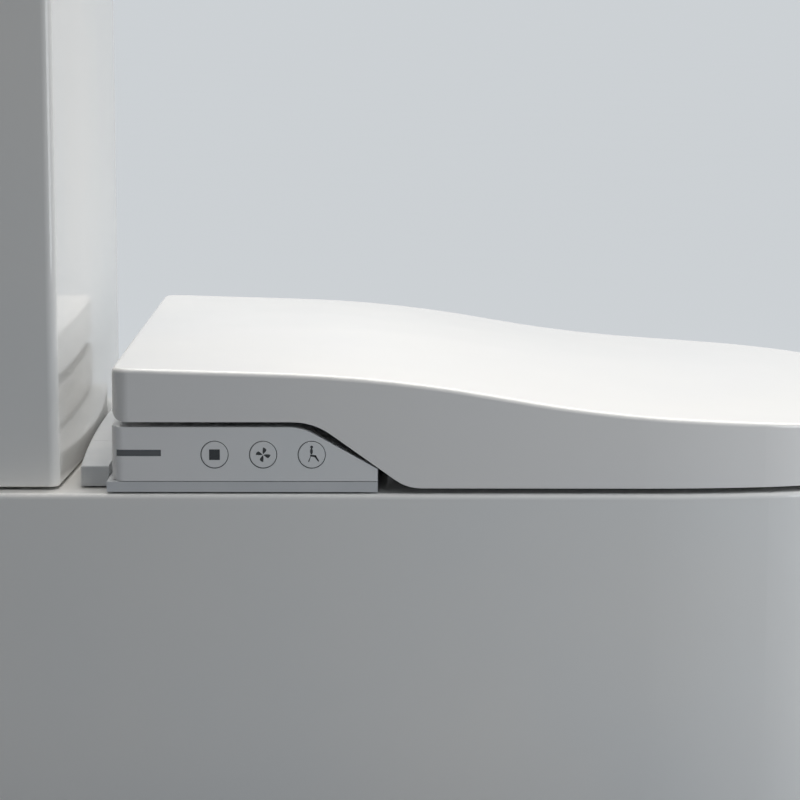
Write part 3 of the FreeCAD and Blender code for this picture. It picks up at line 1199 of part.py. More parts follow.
# ------------------------------------------------------------------------------------------- hinge, seat and lid
def damper(side):
    x_low, x_high = sorted((side * (size.barrel_end - size.damper_length + 0.5), side * (size.barrel_end - 1)))
    body = across(size.damper_radius, x_low, x_high)
    x_low, x_high = sorted((side * (size.barrel_end - size.pin_reach), side * (size.barrel_end + 1)))
    return body.cut(across(size.pin_radius + size.running_gap, x_low, x_high))


node("hinge_dampers", group(shaped(damper(-1)), shaped(damper(1))))


def crown(forward):
    """How much higher the lid's middle is than its edge."""
    share = min(max(forward / size.lid_length, 0), 1)
    return size.lid_crown * math.sin(math.pi * share ** 0.75)


def under_top(drop):
    """All that lies under the lid's crowned top, lowered by a drop."""
    half = 1.2 * place.lid_half
    low = place.z_rim - 30
    sections = []
    steps = 18
    for i in range(steps + 1):
        f = -20 + (size.lid_length + 40) * i / steps
        y = place.y_lid - f
        edge = place.z_rim + lid_top(f) - drop
        left, right = Vector(-half, y, edge), Vector(half, y, edge)
        # the arc meets the edge height at the lid's side, so its ends lie a little lower
        rise = crown(f) + 0.01
        top = Part.Arc(left - UP * (0.44 * rise), Vector(0, y, edge + rise), right - UP * (0.44 * rise)).toShape()
        a, b = left - UP * (0.44 * rise), right - UP * (0.44 * rise)
        a_low, b_low = Vector(-half, y, low), Vector(half, y, low)
        sections.append(Part.Wire([top, Part.makeLine(b, b_low), Part.makeLine(b_low, a_low),
                                   Part.makeLine(a_low, a)]))
    return Part.makeLoft(sections, True, False)


def lid_plan(inset, low, height, rear=None):
    rear = place.y_lid if rear is None else rear
    wire = plan(place.z_rim + low, place.lid_half, rear, place.y_nose + size.pan_nose_margin, place.y_bend,
                inset=inset)
    return prism(wire, height)


def lid_shell():
    blank = lid_plan(0, -10, 110).common(under_top(0))
    top = edges_near(blank, lambda e: e.BoundBox.ZMin > place.z_rim + 20 and e.BoundBox.ZLength < 50
                     and not (e.BoundBox.XLength < 1 and e.BoundBox.YLength < 1))
    blank = blank.makeFillet(size.lid_edge, [edge for edge in top if edge.Length > 1])
    hollow = lid_plan(size.lid_wall, -11, 120).common(under_top(size.lid_wall))
    below = side_prism([
        (-30, -30), (-30, size.lid_lower_rear + size.lid_rear_foot + 1),
        (-0.01, size.lid_lower_rear + size.lid_rear_foot + 1),
        (-0.01, size.lid_lower_rear, size.lid_rear_foot),
        (size.lid_slope_start, size.lid_lower_rear, size.lid_slope_bend),
        (size.lid_slope_end, size.lid_lower_front, size.lid_slope_bend / 1.5),
        (size.lid_length + 30, size.lid_lower_front), (size.lid_length + 30, -30)], 1.2 * place.lid_half)
    shell = blank.cut(hollow).cut(below)
    for side in (-1, 1):
        x_low, x_high = sorted((side * size.ear_start, side * (place.lid_half - size.lid_wall / 2)))
        ear = across(size.ear_radius, x_low, x_high)
        web = Part.makeBox(x_high - x_low, 1.6 * size.ear_radius, size.lid_rear_height - size.hinge_rise - 1.5,
                           Vector(x_low, place.y_hinge - 0.8 * size.ear_radius, place.z_hinge))
        shell = shell.fuse(ear.fuse(web))
    pin_gap = {-1: size.running_gap, 1: 0}
    for side in (-1, 1):
        x_low, x_high = sorted((side * (size.ear_start - 1), side * (size.ear_start + size.ear_bore)))
        shell = shell.cut(across(size.pin_radius + pin_gap[side], x_low, x_high))
    return shell


node("lid_shell", shaped(lid_shell()))


def seat_blank(inset):
    """The seat's outer form, or inset by its wall: ring, raised back and the two arms to the hinge."""
    gap = size.lid_wall + size.seat_side_gap
    ring = lid_plan(gap + inset, 0, 90)
    ring = ring.cut(solid_box(300, place.y_lid - size.seat_rear - inset, place.y_back, place.z_rim - 10,
                              place.z_rim + 100))
    hole_half = (size.seat_hole_nose - size.seat_hole_rear) / 2
    hole_middle = place.y_lid - (size.seat_hole_nose + size.seat_hole_rear) / 2
    hole = prism(egg(place.z_rim - 1, hole_middle, hole_half + inset, size.seat_hole_half + inset), 100)
    ring = ring.cut(hole)
    for side in (-1, 1):
        x_low, x_high = sorted((side * (size.arm_low + inset), side * (size.arm_high - inset)))
        arm = Part.makeBox(x_high - x_low, size.seat_rear - size.hinge_back + 2 * inset + 2, 90,
                           Vector(x_low, place.y_lid - size.seat_rear - inset - 2, place.z_rim))
        ring = ring.fuse(arm)
    points = [(size.hinge_back + 0.001, size.arm_rise + inset)]
    count = 12
    for i in range(count + 1):
        f = size.hinge_back + (size.lid_length - size.hinge_back) * i / count
        points.append((f, lid_top(f) - size.lid_wall - size.seat_top_gap - inset))
    points += [(size.lid_length, size.seat_low + inset - 0.001 * inset),
               (size.lid_slope_end + inset / 2, size.seat_low + inset, 15),
               (size.lid_slope_start + inset / 2, size.arm_rise + inset, 15)]
    return ring.common(side_prism(points, place.lid_half))


def seat_parts():
    outer = seat_blank(0)
    inner = seat_blank(size.seat_wall)
    for side in (-1, 1):
        x_low, x_high = sorted((side * size.arm_low, side * size.arm_high))
        outer = outer.fuse(across(size.ear_radius, x_low, x_high))
    notch = solid_box(size.notch_half_width, place.y_lid - size.seat_hole_rear - 5, place.y_lid - size.seat_rear + 5,
                      place.z_rim, place.z_rim + size.notch_rise)
    notch_wall = solid_box(size.notch_half_width + size.seat_wall, place.y_lid - size.seat_hole_rear - 5,
                           place.y_lid - size.seat_rear + 5, place.z_rim,
                           place.z_rim + size.notch_rise + size.seat_wall)
    arms = solid_box(300, place.y_lid - size.seat_rear - 2 * size.seat_wall, place.y_back, place.z_rim,
                     place.z_rim + 100)
    room = inner.cut(notch_wall).cut(arms)
    outer = outer.cut(notch)
    floor_top = place.z_seat + size.seat_wall
    well = room.common(solid_box(300, place.y_nose, place.y_lid, place.z_rim, place.z_rim + 100))
    mouth = prism_of_floor(room, floor_top)
    upper = outer.cut(well).cut(mouth)
    for side, gap_now in ((-1, 0), (1, size.running_gap)):
        x_low, x_high = sorted((side * (size.arm_low - 1), side * (size.arm_high + 1)))
        upper = upper.cut(across(size.pin_radius + gap_now, x_low, x_high))
    foil = well.cut(well.translated(Vector(0, 0, -size.foil_thickness)))
    ring_only = solid_box(300, place.y_nose, place.y_lid - size.seat_hole_rear, place.z_rim + 20,
                          place.z_rim + 100)
    return upper, mouth, foil.common(ring_only)


def prism_of_floor(room, floor_top):
    """The lower shell: the room's own outline carried down to the seat's underside."""
    wires = room.slice(UP, floor_top + 0.01)
    faces = Part.Face(sorted(wires, key=lambda wire: -wire.BoundBox.DiagonalLength))
    return faces.extrude(Vector(0, 0, -size.seat_wall)).translated(Vector(0, 0, -0.01))


seat_top, seat_bottom, foil = seat_parts()
node("seat_top", shaped(seat_top))
node("seat_bottom", shaped(seat_bottom))
node("seat_heater", shaped(foil))

pin_right = across(size.pin_radius, -size.ear_start - size.ear_bore + 1, -size.barrel_end + size.pin_reach - 1)
node("seat_hinge_pin", shaped(pin_right))
pin_left = across(size.pin_radius, size.barrel_end - size.pin_reach + 1, size.ear_start + size.ear_bore)
node("lid_hinge_pin", shaped(pin_left))

bumper_z = ("place.z_rim + size.bumper_gap", "size.seat_low - size.bumper_gap")
bumpers = []
for x, f in (("size.front_bumper_x", "size.front_bumper_forward"), ("size.rear_bumper_x",
                                                                   "size.rear_bumper_forward")):
    bumpers.append(pair(rod("size.bumper_radius", (x, f"place.y_lid - {f}", bumper_z[0]), bumper_z[1])))
node("seat_bumpers", group(*bumpers))


def lid_bumper_shapes():
    """Rubber buttons that hang from the lid's inside to just above the seat."""
    count = 12
    steps = [size.hinge_back + (size.lid_length - size.hinge_back) * i / count for i in range(count + 1)]
    drop = size.lid_wall + size.seat_top_gap - size.bumper_gap
    points = [(size.hinge_back, -10)] + [(f, lid_top(f) - drop) for f in steps] + [(size.lid_length, -10)]
    seat_zone = side_prism(points, place.lid_half)
    lid_room = under_top(size.lid_wall)
    shapes = []
    for side in (-1, 1):
        for f, x in ((size.front_bumper_forward - 20, size.front_bumper_x),
                     (size.rear_bumper_forward + 35, size.rear_bumper_x)):
            column = upright_hole(size.lid_bumper_radius, side * x, place.y_lid - f, place.z_rim, place.z_rim + 90)
            shapes.append(column.common(lid_room).cut(seat_zone))
    return Part.makeCompound(shapes)


node("lid_bumpers", shaped(lid_bumper_shapes()))

# ---------------------------------------------------------------------------------------------------- check, write
doc.recompute()
for thing in doc.Objects:
    if {"Invalid", "Error"} & set(thing.State):
        raise RuntimeError(f"{thing.Name} ({thing.Label}) failed: {thing.State}")
os.makedirs("parts", exist_ok=True)
for thing in nodes:
    shape = thing.Shape
    if shape.isNull() or not shape.isValid() or not shape.Solids:
        raise RuntimeError(f"{thing.Label} has no sound solid")
for thing in nodes:
    thing.Shape.exportStep(f"parts/{thing.Label}.step")
    print(f"{thing.Label}: {len(thing.Shape.Solids)} solid(s), {thing.Shape.Volume / 1000:.2f} cm3")
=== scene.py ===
# %% [markdown]
# # A toilet with a heated seat
#
# The real object has three kinds of visible surface. The pan and the cistern are vitreous china: clay with
# glass fired onto it. The lid and the seat are thick moulded plastic with a polished gloss. The unit
# between them is a satin plastic housing with three round buttons. What is hidden is metal, rubber and
# plain engineering plastic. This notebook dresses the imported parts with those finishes, one step at a time.

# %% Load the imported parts
import json
import math
import bmesh
import bpy
import numpy as np
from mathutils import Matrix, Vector
from mathutils.geometry import tessellate_polygon


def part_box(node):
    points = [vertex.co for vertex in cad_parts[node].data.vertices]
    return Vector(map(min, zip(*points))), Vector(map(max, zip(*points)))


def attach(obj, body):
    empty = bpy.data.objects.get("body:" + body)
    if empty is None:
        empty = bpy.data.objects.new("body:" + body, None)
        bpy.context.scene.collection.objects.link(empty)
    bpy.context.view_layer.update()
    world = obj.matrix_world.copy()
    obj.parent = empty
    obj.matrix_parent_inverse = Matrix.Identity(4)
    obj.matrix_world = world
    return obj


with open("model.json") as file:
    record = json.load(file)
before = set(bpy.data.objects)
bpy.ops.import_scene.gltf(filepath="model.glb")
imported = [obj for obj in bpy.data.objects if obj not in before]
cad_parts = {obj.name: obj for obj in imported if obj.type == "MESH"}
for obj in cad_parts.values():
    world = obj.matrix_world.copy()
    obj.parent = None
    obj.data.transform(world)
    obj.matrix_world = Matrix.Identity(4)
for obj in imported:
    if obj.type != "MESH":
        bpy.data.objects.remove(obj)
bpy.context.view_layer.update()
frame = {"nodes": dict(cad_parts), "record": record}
nodes = frame["nodes"]

# %% [markdown]
# ## Colours in light's own measure
#
# Paint charts and screens give a colour on a curved scale that suits the eye, and a renderer adds up light
# on a straight one. Every colour below is written as a screen shows it, and one function turns it to the
# straight scale, so that two colours in this notebook can be compared by eye with any picture of the real
# thing.

# %% From screen colour to light
MM = 0.001


def linear(hex_colour):
    """A screen colour such as "F2F2F0" as linear red, green and blue and a full alpha.

    The screen's standard curve is a straight line up to 0.04045, and a power of 2.4 above it.
    """
    screen = np.array([int(hex_colour[i:i + 2], 16) for i in (0, 2, 4)]) / 255
    light = np.where(screen <= 0.04045, screen / 12.92, ((screen + 0.055) / 1.055) ** 2.4)
    return (*light.tolist(), 1.0)


print("a screen grey of 80 in hex is", round(linear("808080")[0], 3), "as light")

# %% [markdown]
# ## Adding a node
#
# A finish is a chain of shader nodes, and so is the backdrop. All of them are added in the same way: make
# the node, set its own choices, then give each socket a value or join another node's output to it. One
# small function does that for every kind of node. It takes a socket's name, or its number where two share a
# name.

# %% One function for every node
def add(owner, kind, settings, sockets):
    """Adds a node to a material or world, with its own settings and a value or an output for each socket."""
    node = owner.node_tree.nodes.new(kind)
    for name, value in settings.items():
        setattr(node, name, value)
    for socket, value in sockets.items():
        if isinstance(value, bpy.types.NodeSocket):
            owner.node_tree.links.new(value, node.inputs[socket])
        else:
            node.inputs[socket].default_value = value
    return node


print("nodes are added by", add.__name__)

# %% [markdown]
# ## A finish in layers
#
# Real surfaces are never quite even. Their colour drifts, wiping leaves haze, and the mould or the kiln
# leaves waves and grain. Each of these is a layer of soft noise, and a layer can tint the surface, carry
# its roughness or raise it. Blender's noise repeats about once for each unit of its scale, so a scale is
# always worked out from a real size in millimetres. Relief layers lie on each other, the slow waves first
# and the grain on top.

# %% The recipe for a finish
NOISE_ROUGHNESS = 0.5
NOISE_SPREAD = (0.3, 0.7)
TINT_STOPS = (0.35, 0.65)


def finish(name, colour, roughness, layers=(), **values):
    """A material with a surface shader and layers of soft noise, whose waves are about mm long.

    A layer's tint mixes two colours, its haze carries the roughness from one value to another, and its relief
    raises the surface by a height in millimetres at a strength. Detail adds finer waves. Squeeze makes the
    waves finer along each axis by a factor, and draws them out where it is under 1.
    """
    material = bpy.data.materials.new(name)
    material.use_nodes = True
    shader = material.node_tree.nodes["Principled BSDF"]
    shader.inputs["Base Color"].default_value = linear(colour)
    shader.inputs["Roughness"].default_value = roughness
    for socket, value in values.items():
        shader.inputs[socket.replace("_", " ")].default_value = value
    link = material.node_tree.links.new
    raised = {}
    for layer in layers:
        place = add(material, "ShaderNodeTexCoord", {}, {})
        drawn = add(material, "ShaderNodeMapping", {},
                    {"Vector": place.outputs["Object"], "Scale": layer.get("squeeze", (1, 1, 1))})
        noise = add(material, "ShaderNodeTexNoise", {},
                    {"Vector": drawn.outputs["Vector"], "Scale": 1 / (layer["mm"] * MM),
                     "Detail": layer.get("detail", 2.0), "Roughness": NOISE_ROUGHNESS}).outputs["Fac"]
        if "tint" in layer:
            ramp = add(material, "ShaderNodeValToRGB", {}, {"Fac": noise})
            for stop, position, shade in zip(ramp.color_ramp.elements, TINT_STOPS, layer["tint"]):
                stop.position = position
                stop.color = linear(shade)
            link(ramp.outputs["Color"], shader.inputs["Base Color"])
        if "haze" in layer:
            low, high = layer["haze"]
            spread = add(material, "ShaderNodeMapRange", {},
                         {"Value": noise, "From Min": NOISE_SPREAD[0], "From Max": NOISE_SPREAD[1],
                          "To Min": low, "To Max": high})
            link(spread.outputs["Result"], shader.inputs["Roughness"])
        if "relief" in layer:
            height, strength = layer["relief"]
            bump = add(material, "ShaderNodeBump", {},
                       {"Height": noise, "Distance": height * MM, "Strength": strength, **raised})
            link(bump.outputs["Normal"], shader.inputs["Normal"])
            raised = {"Normal": bump.outputs["Normal"]}
    return material


finishes = {}
print("most of a layer's noise lies from", *NOISE_SPREAD)

# %% [markdown]
# ## Vitreous china
#
# A glaze is poured on and melts flat, so it is as smooth as glass, with an index near 1.52. Its surface
# tension leaves waves a few centimetres long that bend reflections a little, and a faint orange peel. The
# clay below gives a very slightly warm white that drifts over the piece. One glaze does for the pan and the
# cistern.

# %% Glaze
china = finish("glazed_vitreous_china", "F1F1EF", 0.06, IOR=1.52, layers=(
    {"mm": 180, "tint": ("EFF0EF", "F3F2EF")},
    {"mm": 80, "haze": (0.055, 0.07)},
    {"mm": 55, "detail": 0, "relief": (0.04, 0.4)},
    {"mm": 3.5, "relief": (0.004, 0.35)},
))
finishes["glazed_china"] = china
print("the glaze has", len(china.node_tree.nodes), "nodes")

# %% [markdown]
# ## Lid and seat plastic
#
# Seats are pressed from urea or moulded from polypropylene against a polished steel tool. The tool's polish
# gives a high gloss, a little softer than glaze. Under the gloss lies a slight waviness where the plastic
# shrank, and wiping leaves patches of finer haze. The index is about 1.5.

# %% Polished plastic
lid_plastic = finish("polished_urea_plastic", "F2F2F1", 0.13, IOR=1.5, layers=(
    {"mm": 240, "tint": ("F1F1F1", "F4F3F1")},
    {"mm": 60, "haze": (0.125, 0.14)},
    {"mm": 90, "detail": 0, "relief": (0.03, 0.3)},
    {"mm": 1.6, "relief": (0.0015, 0.3)},
))
finishes["lid_plastic"] = lid_plastic
print("the lid's plastic has", len(lid_plastic.node_tree.nodes), "nodes")

# %% [markdown]
# ## The unit's housing
#
# The housing is ABS from a tool with a fine spark-eroded grain, which turns gloss to satin. The real grain
# is finer than a pixel, so it is drawn 0.6 mm long, and its relief is kept to 0.002 mm.

# %% Satin plastic
housing = finish("satin_abs", "EEEFF0", 0.3, IOR=1.5, layers=(
    {"mm": 90, "tint": ("ECEEEF", "F0F0F0")},
    {"mm": 40, "haze": (0.29, 0.32)},
    {"mm": 0.6, "detail": 0, "relief": (0.002, 0.25)},
))
finishes["housing_plastic"] = housing
print("the housing's plastic has", len(housing.node_tree.nodes), "nodes")

# %% [markdown]
# ## Plain engineering plastics
#
# The base plate is polypropylene, a little greyer and duller, because nobody polishes a piece that sits
# under everything else. The indicator window is smoked polycarbonate. The valves and the nozzle's guide are
# ABS in its natural colour. Ducts, the blower and the dampers are nylon filled with short glass, black and
# dull.

# %% Base plate, window, valves and nylon
finishes["base_plastic"] = finish("moulded_polypropylene", "D3D6D9", 0.42, IOR=1.5, layers=(
    {"mm": 40, "tint": ("D0D3D6", "D7D9DB")},
    {"mm": 1.2, "relief": (0.012, 0.35)},
))
finishes["clear_window"] = finish("smoked_polycarbonate", "4A4E52", 0.16, IOR=1.58, layers=(
    {"mm": 8, "detail": 3, "haze": (0.12, 0.22)},
))
finishes["valve_plastic"] = finish("natural_abs_moulding", "DADDE0", 0.38, IOR=1.5, layers=(
    {"mm": 2, "relief": (0.02, 0.3)},
))
finishes["black_plastic"] = finish("black_glass_filled_nylon", "1B1C1E", 0.5, IOR=1.5, layers=(
    {"mm": 1.5, "detail": 3, "tint": ("17181A", "232427")},
    {"mm": 0.8, "relief": (0.02, 0.5)},
))
print(len(finishes), "finishes so far")

# %% [markdown]
# ## Rubber
#
# Washers, pads and the valve's seal are moulded black rubber, and the bumpers of the seat and the lid are
# grey. Rubber is dull, with a slight sheen at a glancing angle. Both kinds have the same fine grain, so one
# recipe makes the two.

# %% Black and grey rubber
RUBBERS = {
    "rubber": ("moulded_epdm", "1C1C1C", "262626"),
    "grey_rubber": ("grey_silicone", "8C8F92", "96999C"),
}
for slot, (name, darker, lighter) in RUBBERS.items():
    finishes[slot] = finish(name, lighter, 0.7, IOR=1.5, Sheen_Weight=0.15, layers=(
        {"mm": 5, "detail": 3, "tint": (darker, lighter)},
        {"mm": 0.7, "relief": (0.02, 0.5)},
    ))
print("rubbers:", ", ".join(RUBBERS))

# %% [markdown]
# ## Foam
#
# The gasket under the cistern is foam, full of small open cells about 1.5 mm across. Soft noise has no
# cells, so here the height comes from the distance to the nearest of many scattered points, which is a
# Voronoi pattern.

# %% Cellular foam
FOAM_CELL = 1.5 * MM
CELL_HEIGHT = 0.5 * MM
foam = finish("cellular_foam", "3A3A3A", 0.95, IOR=1.5)
foam_place = add(foam, "ShaderNodeTexCoord", {}, {})
cells = add(foam, "ShaderNodeTexVoronoi", {},
            {"Vector": foam_place.outputs["Object"], "Scale": 1 / FOAM_CELL})
pits = add(foam, "ShaderNodeBump", {},
           {"Height": cells.outputs["Distance"], "Distance": CELL_HEIGHT, "Strength": 0.8})
foam.node_tree.links.new(pits.outputs["Normal"], foam.node_tree.nodes["Principled BSDF"].inputs["Normal"])
finishes["foam"] = foam
print("foam cells are", round(FOAM_CELL / MM, 1), "mm across")

# %% [markdown]
# ## Circuit board
#
# A circuit board is glass cloth in resin under a film of green solder mask. The mask is glossy, and the
# cloth's weave just shows through it, four times finer along Z than across.

# %% Solder mask
finishes["circuit_board"] = finish("green_solder_mask", "1C5A34", 0.25, IOR=1.55, layers=(
    {"mm": 4, "detail": 4, "tint": ("18502E", "20643A")},
    {"mm": 0.6, "detail": 0, "squeeze": (1, 1, 4), "relief": (0.01, 0.4)},
))
print(len(finishes), "finishes so far")

# %% [markdown]
# ## Metals
#
# A metal's colour is its reflection, so metallic is 1 and the index stays at Blender's default. One pattern
# tints a metal, carries its roughness and raises it, because all three come from the same work on its
# surface. Chrome is a mirror and has no relief. Ground steel has fine lines along X, which come from
# drawing the noise out that way. Machined brass has marks that are closer together along Z. Zinc plating
# and foil are patchy.

# %% Five metals
HAZE_LOW = 0.8
HAZE_HIGH = 1.25
METALS = {
    "chrome": ("polished_chrome", 0.06, {"mm": 30, "tint": ("D6D8DA", "DCDDDE")}),
    "steel": ("ground_stainless_steel", 0.3,
              {"mm": 0.6, "squeeze": (0.05, 1, 1), "tint": ("B4B6B8", "C2C3C4"), "relief": (0.01, 0.6)}),
    "zinc_steel": ("zinc_plated_steel", 0.42, {"mm": 5, "tint": ("A5A8AA", "BCBEC0"), "relief": (0.01, 0.6)}),
    "brass": ("machined_brass", 0.28,
              {"mm": 0.5, "squeeze": (1, 1, 8), "tint": ("C2A05A", "D0B06C"), "relief": (0.008, 0.6)}),
    "heating_foil": ("aluminium_foil", 0.35, {"mm": 9, "tint": ("C6C7C8", "D3D3D3"), "relief": (0.15, 0.6)}),
}
for slot, (name, roughness, pattern) in METALS.items():
    work = {"detail": 3, "haze": (HAZE_LOW * roughness, HAZE_HIGH * roughness), **pattern}
    finishes[slot] = finish(name, pattern["tint"][1], roughness, Metallic=1.0, layers=(work,))
print(len(finishes), "finishes:", ", ".join(sorted(finishes)))

# %% [markdown]
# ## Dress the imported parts
#
# The record says which finish each part has. Every part gets its own, so nothing is left in a default
# colour.

# %% One finish for each part
slot_of = {row["node"]: row["material_slot"] for row in frame["record"]["subparts"]}
for name, node in nodes.items():
    node.data.materials.clear()
    node.data.materials.append(finishes[slot_of[name]])
print("dressed", len(nodes), "parts")

# %% [markdown]
# ## From points to a piece
#
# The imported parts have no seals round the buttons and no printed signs, so this notebook adds them. A new
# piece is a mesh at the origin, with its place in its points, that rides on one of the bodies. Points are
# worked out as whole arrays with numpy. A closed mesh then has its faces turned outwards, because a shape
# that was carried round an axis or laid on a face can come out with its inside showing.

# %% A mesh that rides on a body
def as_piece(name, points, faces, material, body, smooth):
    """Puts points and faces into a closed mesh, turns the faces outwards and lets it ride on a body."""
    mesh = bpy.data.meshes.new(name)
    mesh.from_pydata(points.reshape(-1, 3).tolist(), [], faces)
    mesh.materials.append(material)
    if smooth:
        mesh.shade_smooth()
    else:
        mesh.shade_flat()
    shell = bmesh.new()
    shell.from_mesh(mesh)
    bmesh.ops.recalc_face_normals(shell, faces=shell.faces)
    shell.to_mesh(mesh)
    shell.free()
    piece = bpy.data.objects.new(name, mesh)
    bpy.context.scene.collection.objects.link(piece)
    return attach(piece, body)


print("pieces are made by", as_piece.__name__)

# %% [markdown]
# ## The buttons
#
# Each button is a disc that sits in a round hole of the side panel and faces the user's right, which is -X.
# Its seal and its sign take their places from the button's own packed box, so they follow it whatever its
# size.

# %% Places of the buttons
BUTTONS = ("button_stop", "button_dry", "button_wash")


def face_of(name):
    """The middle of a button's outer face and its radius."""
    low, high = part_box(name)
    return Vector((low.x, (low.y + high.y) / 2, (low.z + high.z) / 2)), (high.z - low.z) / 2


print({name: round(face_of(name)[1] / MM, 2) for name in BUTTONS}, "mm in radius")

# %% [markdown]
# ## The buttons' seals, dark with painted shade
#
# A dark strip, drawn as an elastic seal, fills the gap round each button and makes the thin circle that the
# eye sees. Its dark grey is painted shade, which stands in for the shade that falls into that gap. It could
# be a torus, but the seal is a flat strip with its front edges broken. So a small profile is carried
# round the button's axis, and both directions of the grid are closed: round the button, and round the
# profile.

# %% Seals, whose dark grey is painted shade
ROUND_STEPS = 72
SEAL_WIDTH = 0.42 * MM
SEAL_DEPTH = 0.81 * MM
SEAL_SINK = 0.1 * MM
EDGE_ACROSS = 0.03 * MM
EDGE_DEEP = 0.09 * MM
# The seals' dark grey is painted shade for the gap round each button.
painted_gap_shade_seal = finish("grey_thermoplastic_elastomer", "34393C", 0.6, IOR=1.5, layers=(
    {"mm": 0.5, "relief": (0.005, 0.4)},
))


def seal_points(middle, radius):
    """A strip's profile of (width, depth), carried round X by an angle a that goes once round.

    A point is the middle + (sink + depth, -r cos a, -r sin a), where r is the button's radius + the width.
    """
    profile = np.array([(EDGE_ACROSS, 0), (SEAL_WIDTH - EDGE_ACROSS, 0), (SEAL_WIDTH, EDGE_DEEP),
                        (SEAL_WIDTH, SEAL_DEPTH), (0, SEAL_DEPTH), (0, EDGE_DEEP)])
    angle = np.linspace(0, 2 * math.pi, ROUND_STEPS, endpoint=False)[:, None]
    width, depth = profile.T
    out = SEAL_SINK + depth + 0 * angle
    return np.array(middle) + np.stack([out, -(radius + width) * np.cos(angle),
                                        -(radius + width) * np.sin(angle)], -1)


def closed_quads(rows, columns):
    """Quads of a grid that closes both ways: after the last row or column comes the first again."""
    row, column = np.meshgrid(np.arange(rows), np.arange(columns), indexing="ij")
    next_row = (row + 1) % rows
    next_column = (column + 1) % columns
    corners = [row * columns + column, row * columns + next_column,
               next_row * columns + next_column, next_row * columns + column]
    return np.stack(corners, -1).reshape(-1, 4).tolist()


# Each seal is a dark ring in a button's gap, and its dark grey is painted shade for that gap.
for name in BUTTONS:
    ring = seal_points(*face_of(name))
    as_piece(name.replace("button", "seal"), ring, closed_quads(*ring.shape[:2]), painted_gap_shade_seal, "unit", True)
print("seals round", len(BUTTONS), "buttons, each", round(SEAL_WIDTH / MM, 2), "mm wide")

# %% [markdown]
# ## Outlines of the signs
#
# The signs are plain marks that such buttons carry: a square to stop, a fan to dry, and a seated figure to
# wash. They could be a picture laid on the button, but an outline stays sharp at any distance. The square and
# the figure are built from arcs and straight lines, and the fan's blades from a sine curve. All of them are
# in millimetres across (towards the front) and up.

# %% Shapes to draw with
CORNER_STEPS = 7
OVAL_STEPS = 28
END_STEPS = 12
BLADE_STEPS = 16


def arc(angles, half_width, half_height):
    """Points on an ellipse: half the width times the cosine across, half the height times the sine up."""
    return np.stack([half_width * np.cos(angles), half_height * np.sin(angles)], 1)


def rounded_square(side, corner):
    """A square whose corners are quarter circles."""
    inner = side / 2 - corner
    middles = [(inner, inner), (-inner, inner), (-inner, -inner), (inner, -inner)]
    return np.concatenate([
        middle + arc(np.linspace(i * math.pi / 2, (i + 1) * math.pi / 2, CORNER_STEPS), corner, corner)
        for i, middle in enumerate(middles)])


def oval(middle, half_width, half_height):
    """An ellipse round a point."""
    return middle + arc(np.linspace(0, 2 * math.pi, OVAL_STEPS, endpoint=False), half_width, half_height)


def stroke(begin, end, width_begin, width_end):
    """A line with round ends that goes from one width to the other."""
    across = end[0] - begin[0]
    up = end[1] - begin[1]
    turn = math.atan2(up, across) + np.linspace(-math.pi / 2, math.pi / 2, END_STEPS)
    return np.concatenate([end + arc(turn, width_end / 2, width_end / 2),
                           begin + arc(turn + math.pi, width_begin / 2, width_begin / 2)])


def blade(reach, bulge, turn):
    """A fan blade from the hub to the tip, round on one side and nearly straight on the other.

    With f from the hub to 1 at the tip, the round side bulges by sin(pi f^1.6)^0.8, and the other side by a
    small share of sin(pi f) the other way.
    """
    hub = 0.08
    straight = 0.12
    along = np.linspace(hub, 1, BLADE_STEPS)
    round_side = np.stack([bulge * np.sin(math.pi * along ** 1.6) ** 0.8, along * reach], 1)
    straight_side = np.stack([-straight * bulge * np.sin(math.pi * along), along * reach], 1)
    drop = np.concatenate([round_side, straight_side[-2:0:-1]])
    turned = np.array([[math.cos(turn), -math.sin(turn)], [math.sin(turn), math.cos(turn)]])
    return drop @ turned.T


print("an oval has", len(oval((0, 0), 1, 1)), "points and a blade", len(blade(1, 1, 0)))

# %% [markdown]
# ## The three signs
#
# The stop sign is one square with its corners just broken. The dry sign is a fan of four blades. The wash
# sign is a figure from the side, with a head, a trunk, a thigh and a shin, and a thin stroke below for the
# water.

# %% Draw the signs
BLADES = 4
HEAD = oval((0, 4.5), 0.8, 0.9)
TRUNK = oval((-0.1, 2.0), 0.8, 1.8)
THIGH = stroke((-0.3, -0.5), (2.1, -0.8), 1.2, 1.2)
SHIN = stroke((2.1, -0.9), (3.9, -3.6), 1.1, 0.8)
WATER = stroke((-0.7, -1.2), (-1.7, -3.9), 0.35, 0.6)
SIGNS = {
    "button_stop": [rounded_square(6.2, 0.25)],
    "button_dry": [blade(4.3, 1.9, 2 * math.pi * i / BLADES) for i in range(BLADES)],
    "button_wash": [HEAD, TRUNK, THIGH, SHIN, WATER],
}
print({name: len(outlines) for name, outlines in SIGNS.items()})

# %% [markdown]
# ## Print the signs
#
# A pad lays a film of ink a twentieth of a millimetre thick on the button. The print is a real thin body,
# so it has the faint edge that ink has, and it starts just under the face, so no light gets in between. It
# rides on its button's body and moves in with it when the button is pressed.

# %% Ink on the buttons
INK_THICK = 0.05 * MM
INK_SINK = 0.01 * MM
ink = finish("pad_printing_ink", "23272A", 0.55, IOR=1.5, layers=(
    {"mm": 0.8, "detail": 3, "tint": ("1F2326", "282C2F")},
))


def print_points(outline, middle):
    """A thin print's back and then its front: the middle + (out, -across, up), where out is along +X."""
    across, up = outline.T * MM
    return [np.stack([middle.x + out + 0 * up, middle.y - across, middle.z + up], 1)
            for out in (INK_SINK, INK_SINK - INK_THICK)]


def print_faces(outline, first):
    """Triangles for the back and the front, and quads round the edge, for points that start at a number."""
    count = len(outline)
    back = first + np.array(tessellate_polygon([[Vector((*point, 0)) for point in outline]]))
    edge = first + np.arange(count)
    after = first + (np.arange(count) + 1) % count
    band = np.stack([after, edge, edge + count, after + count], 1)
    return back.tolist() + (back[:, ::-1] + count).tolist() + band.tolist()


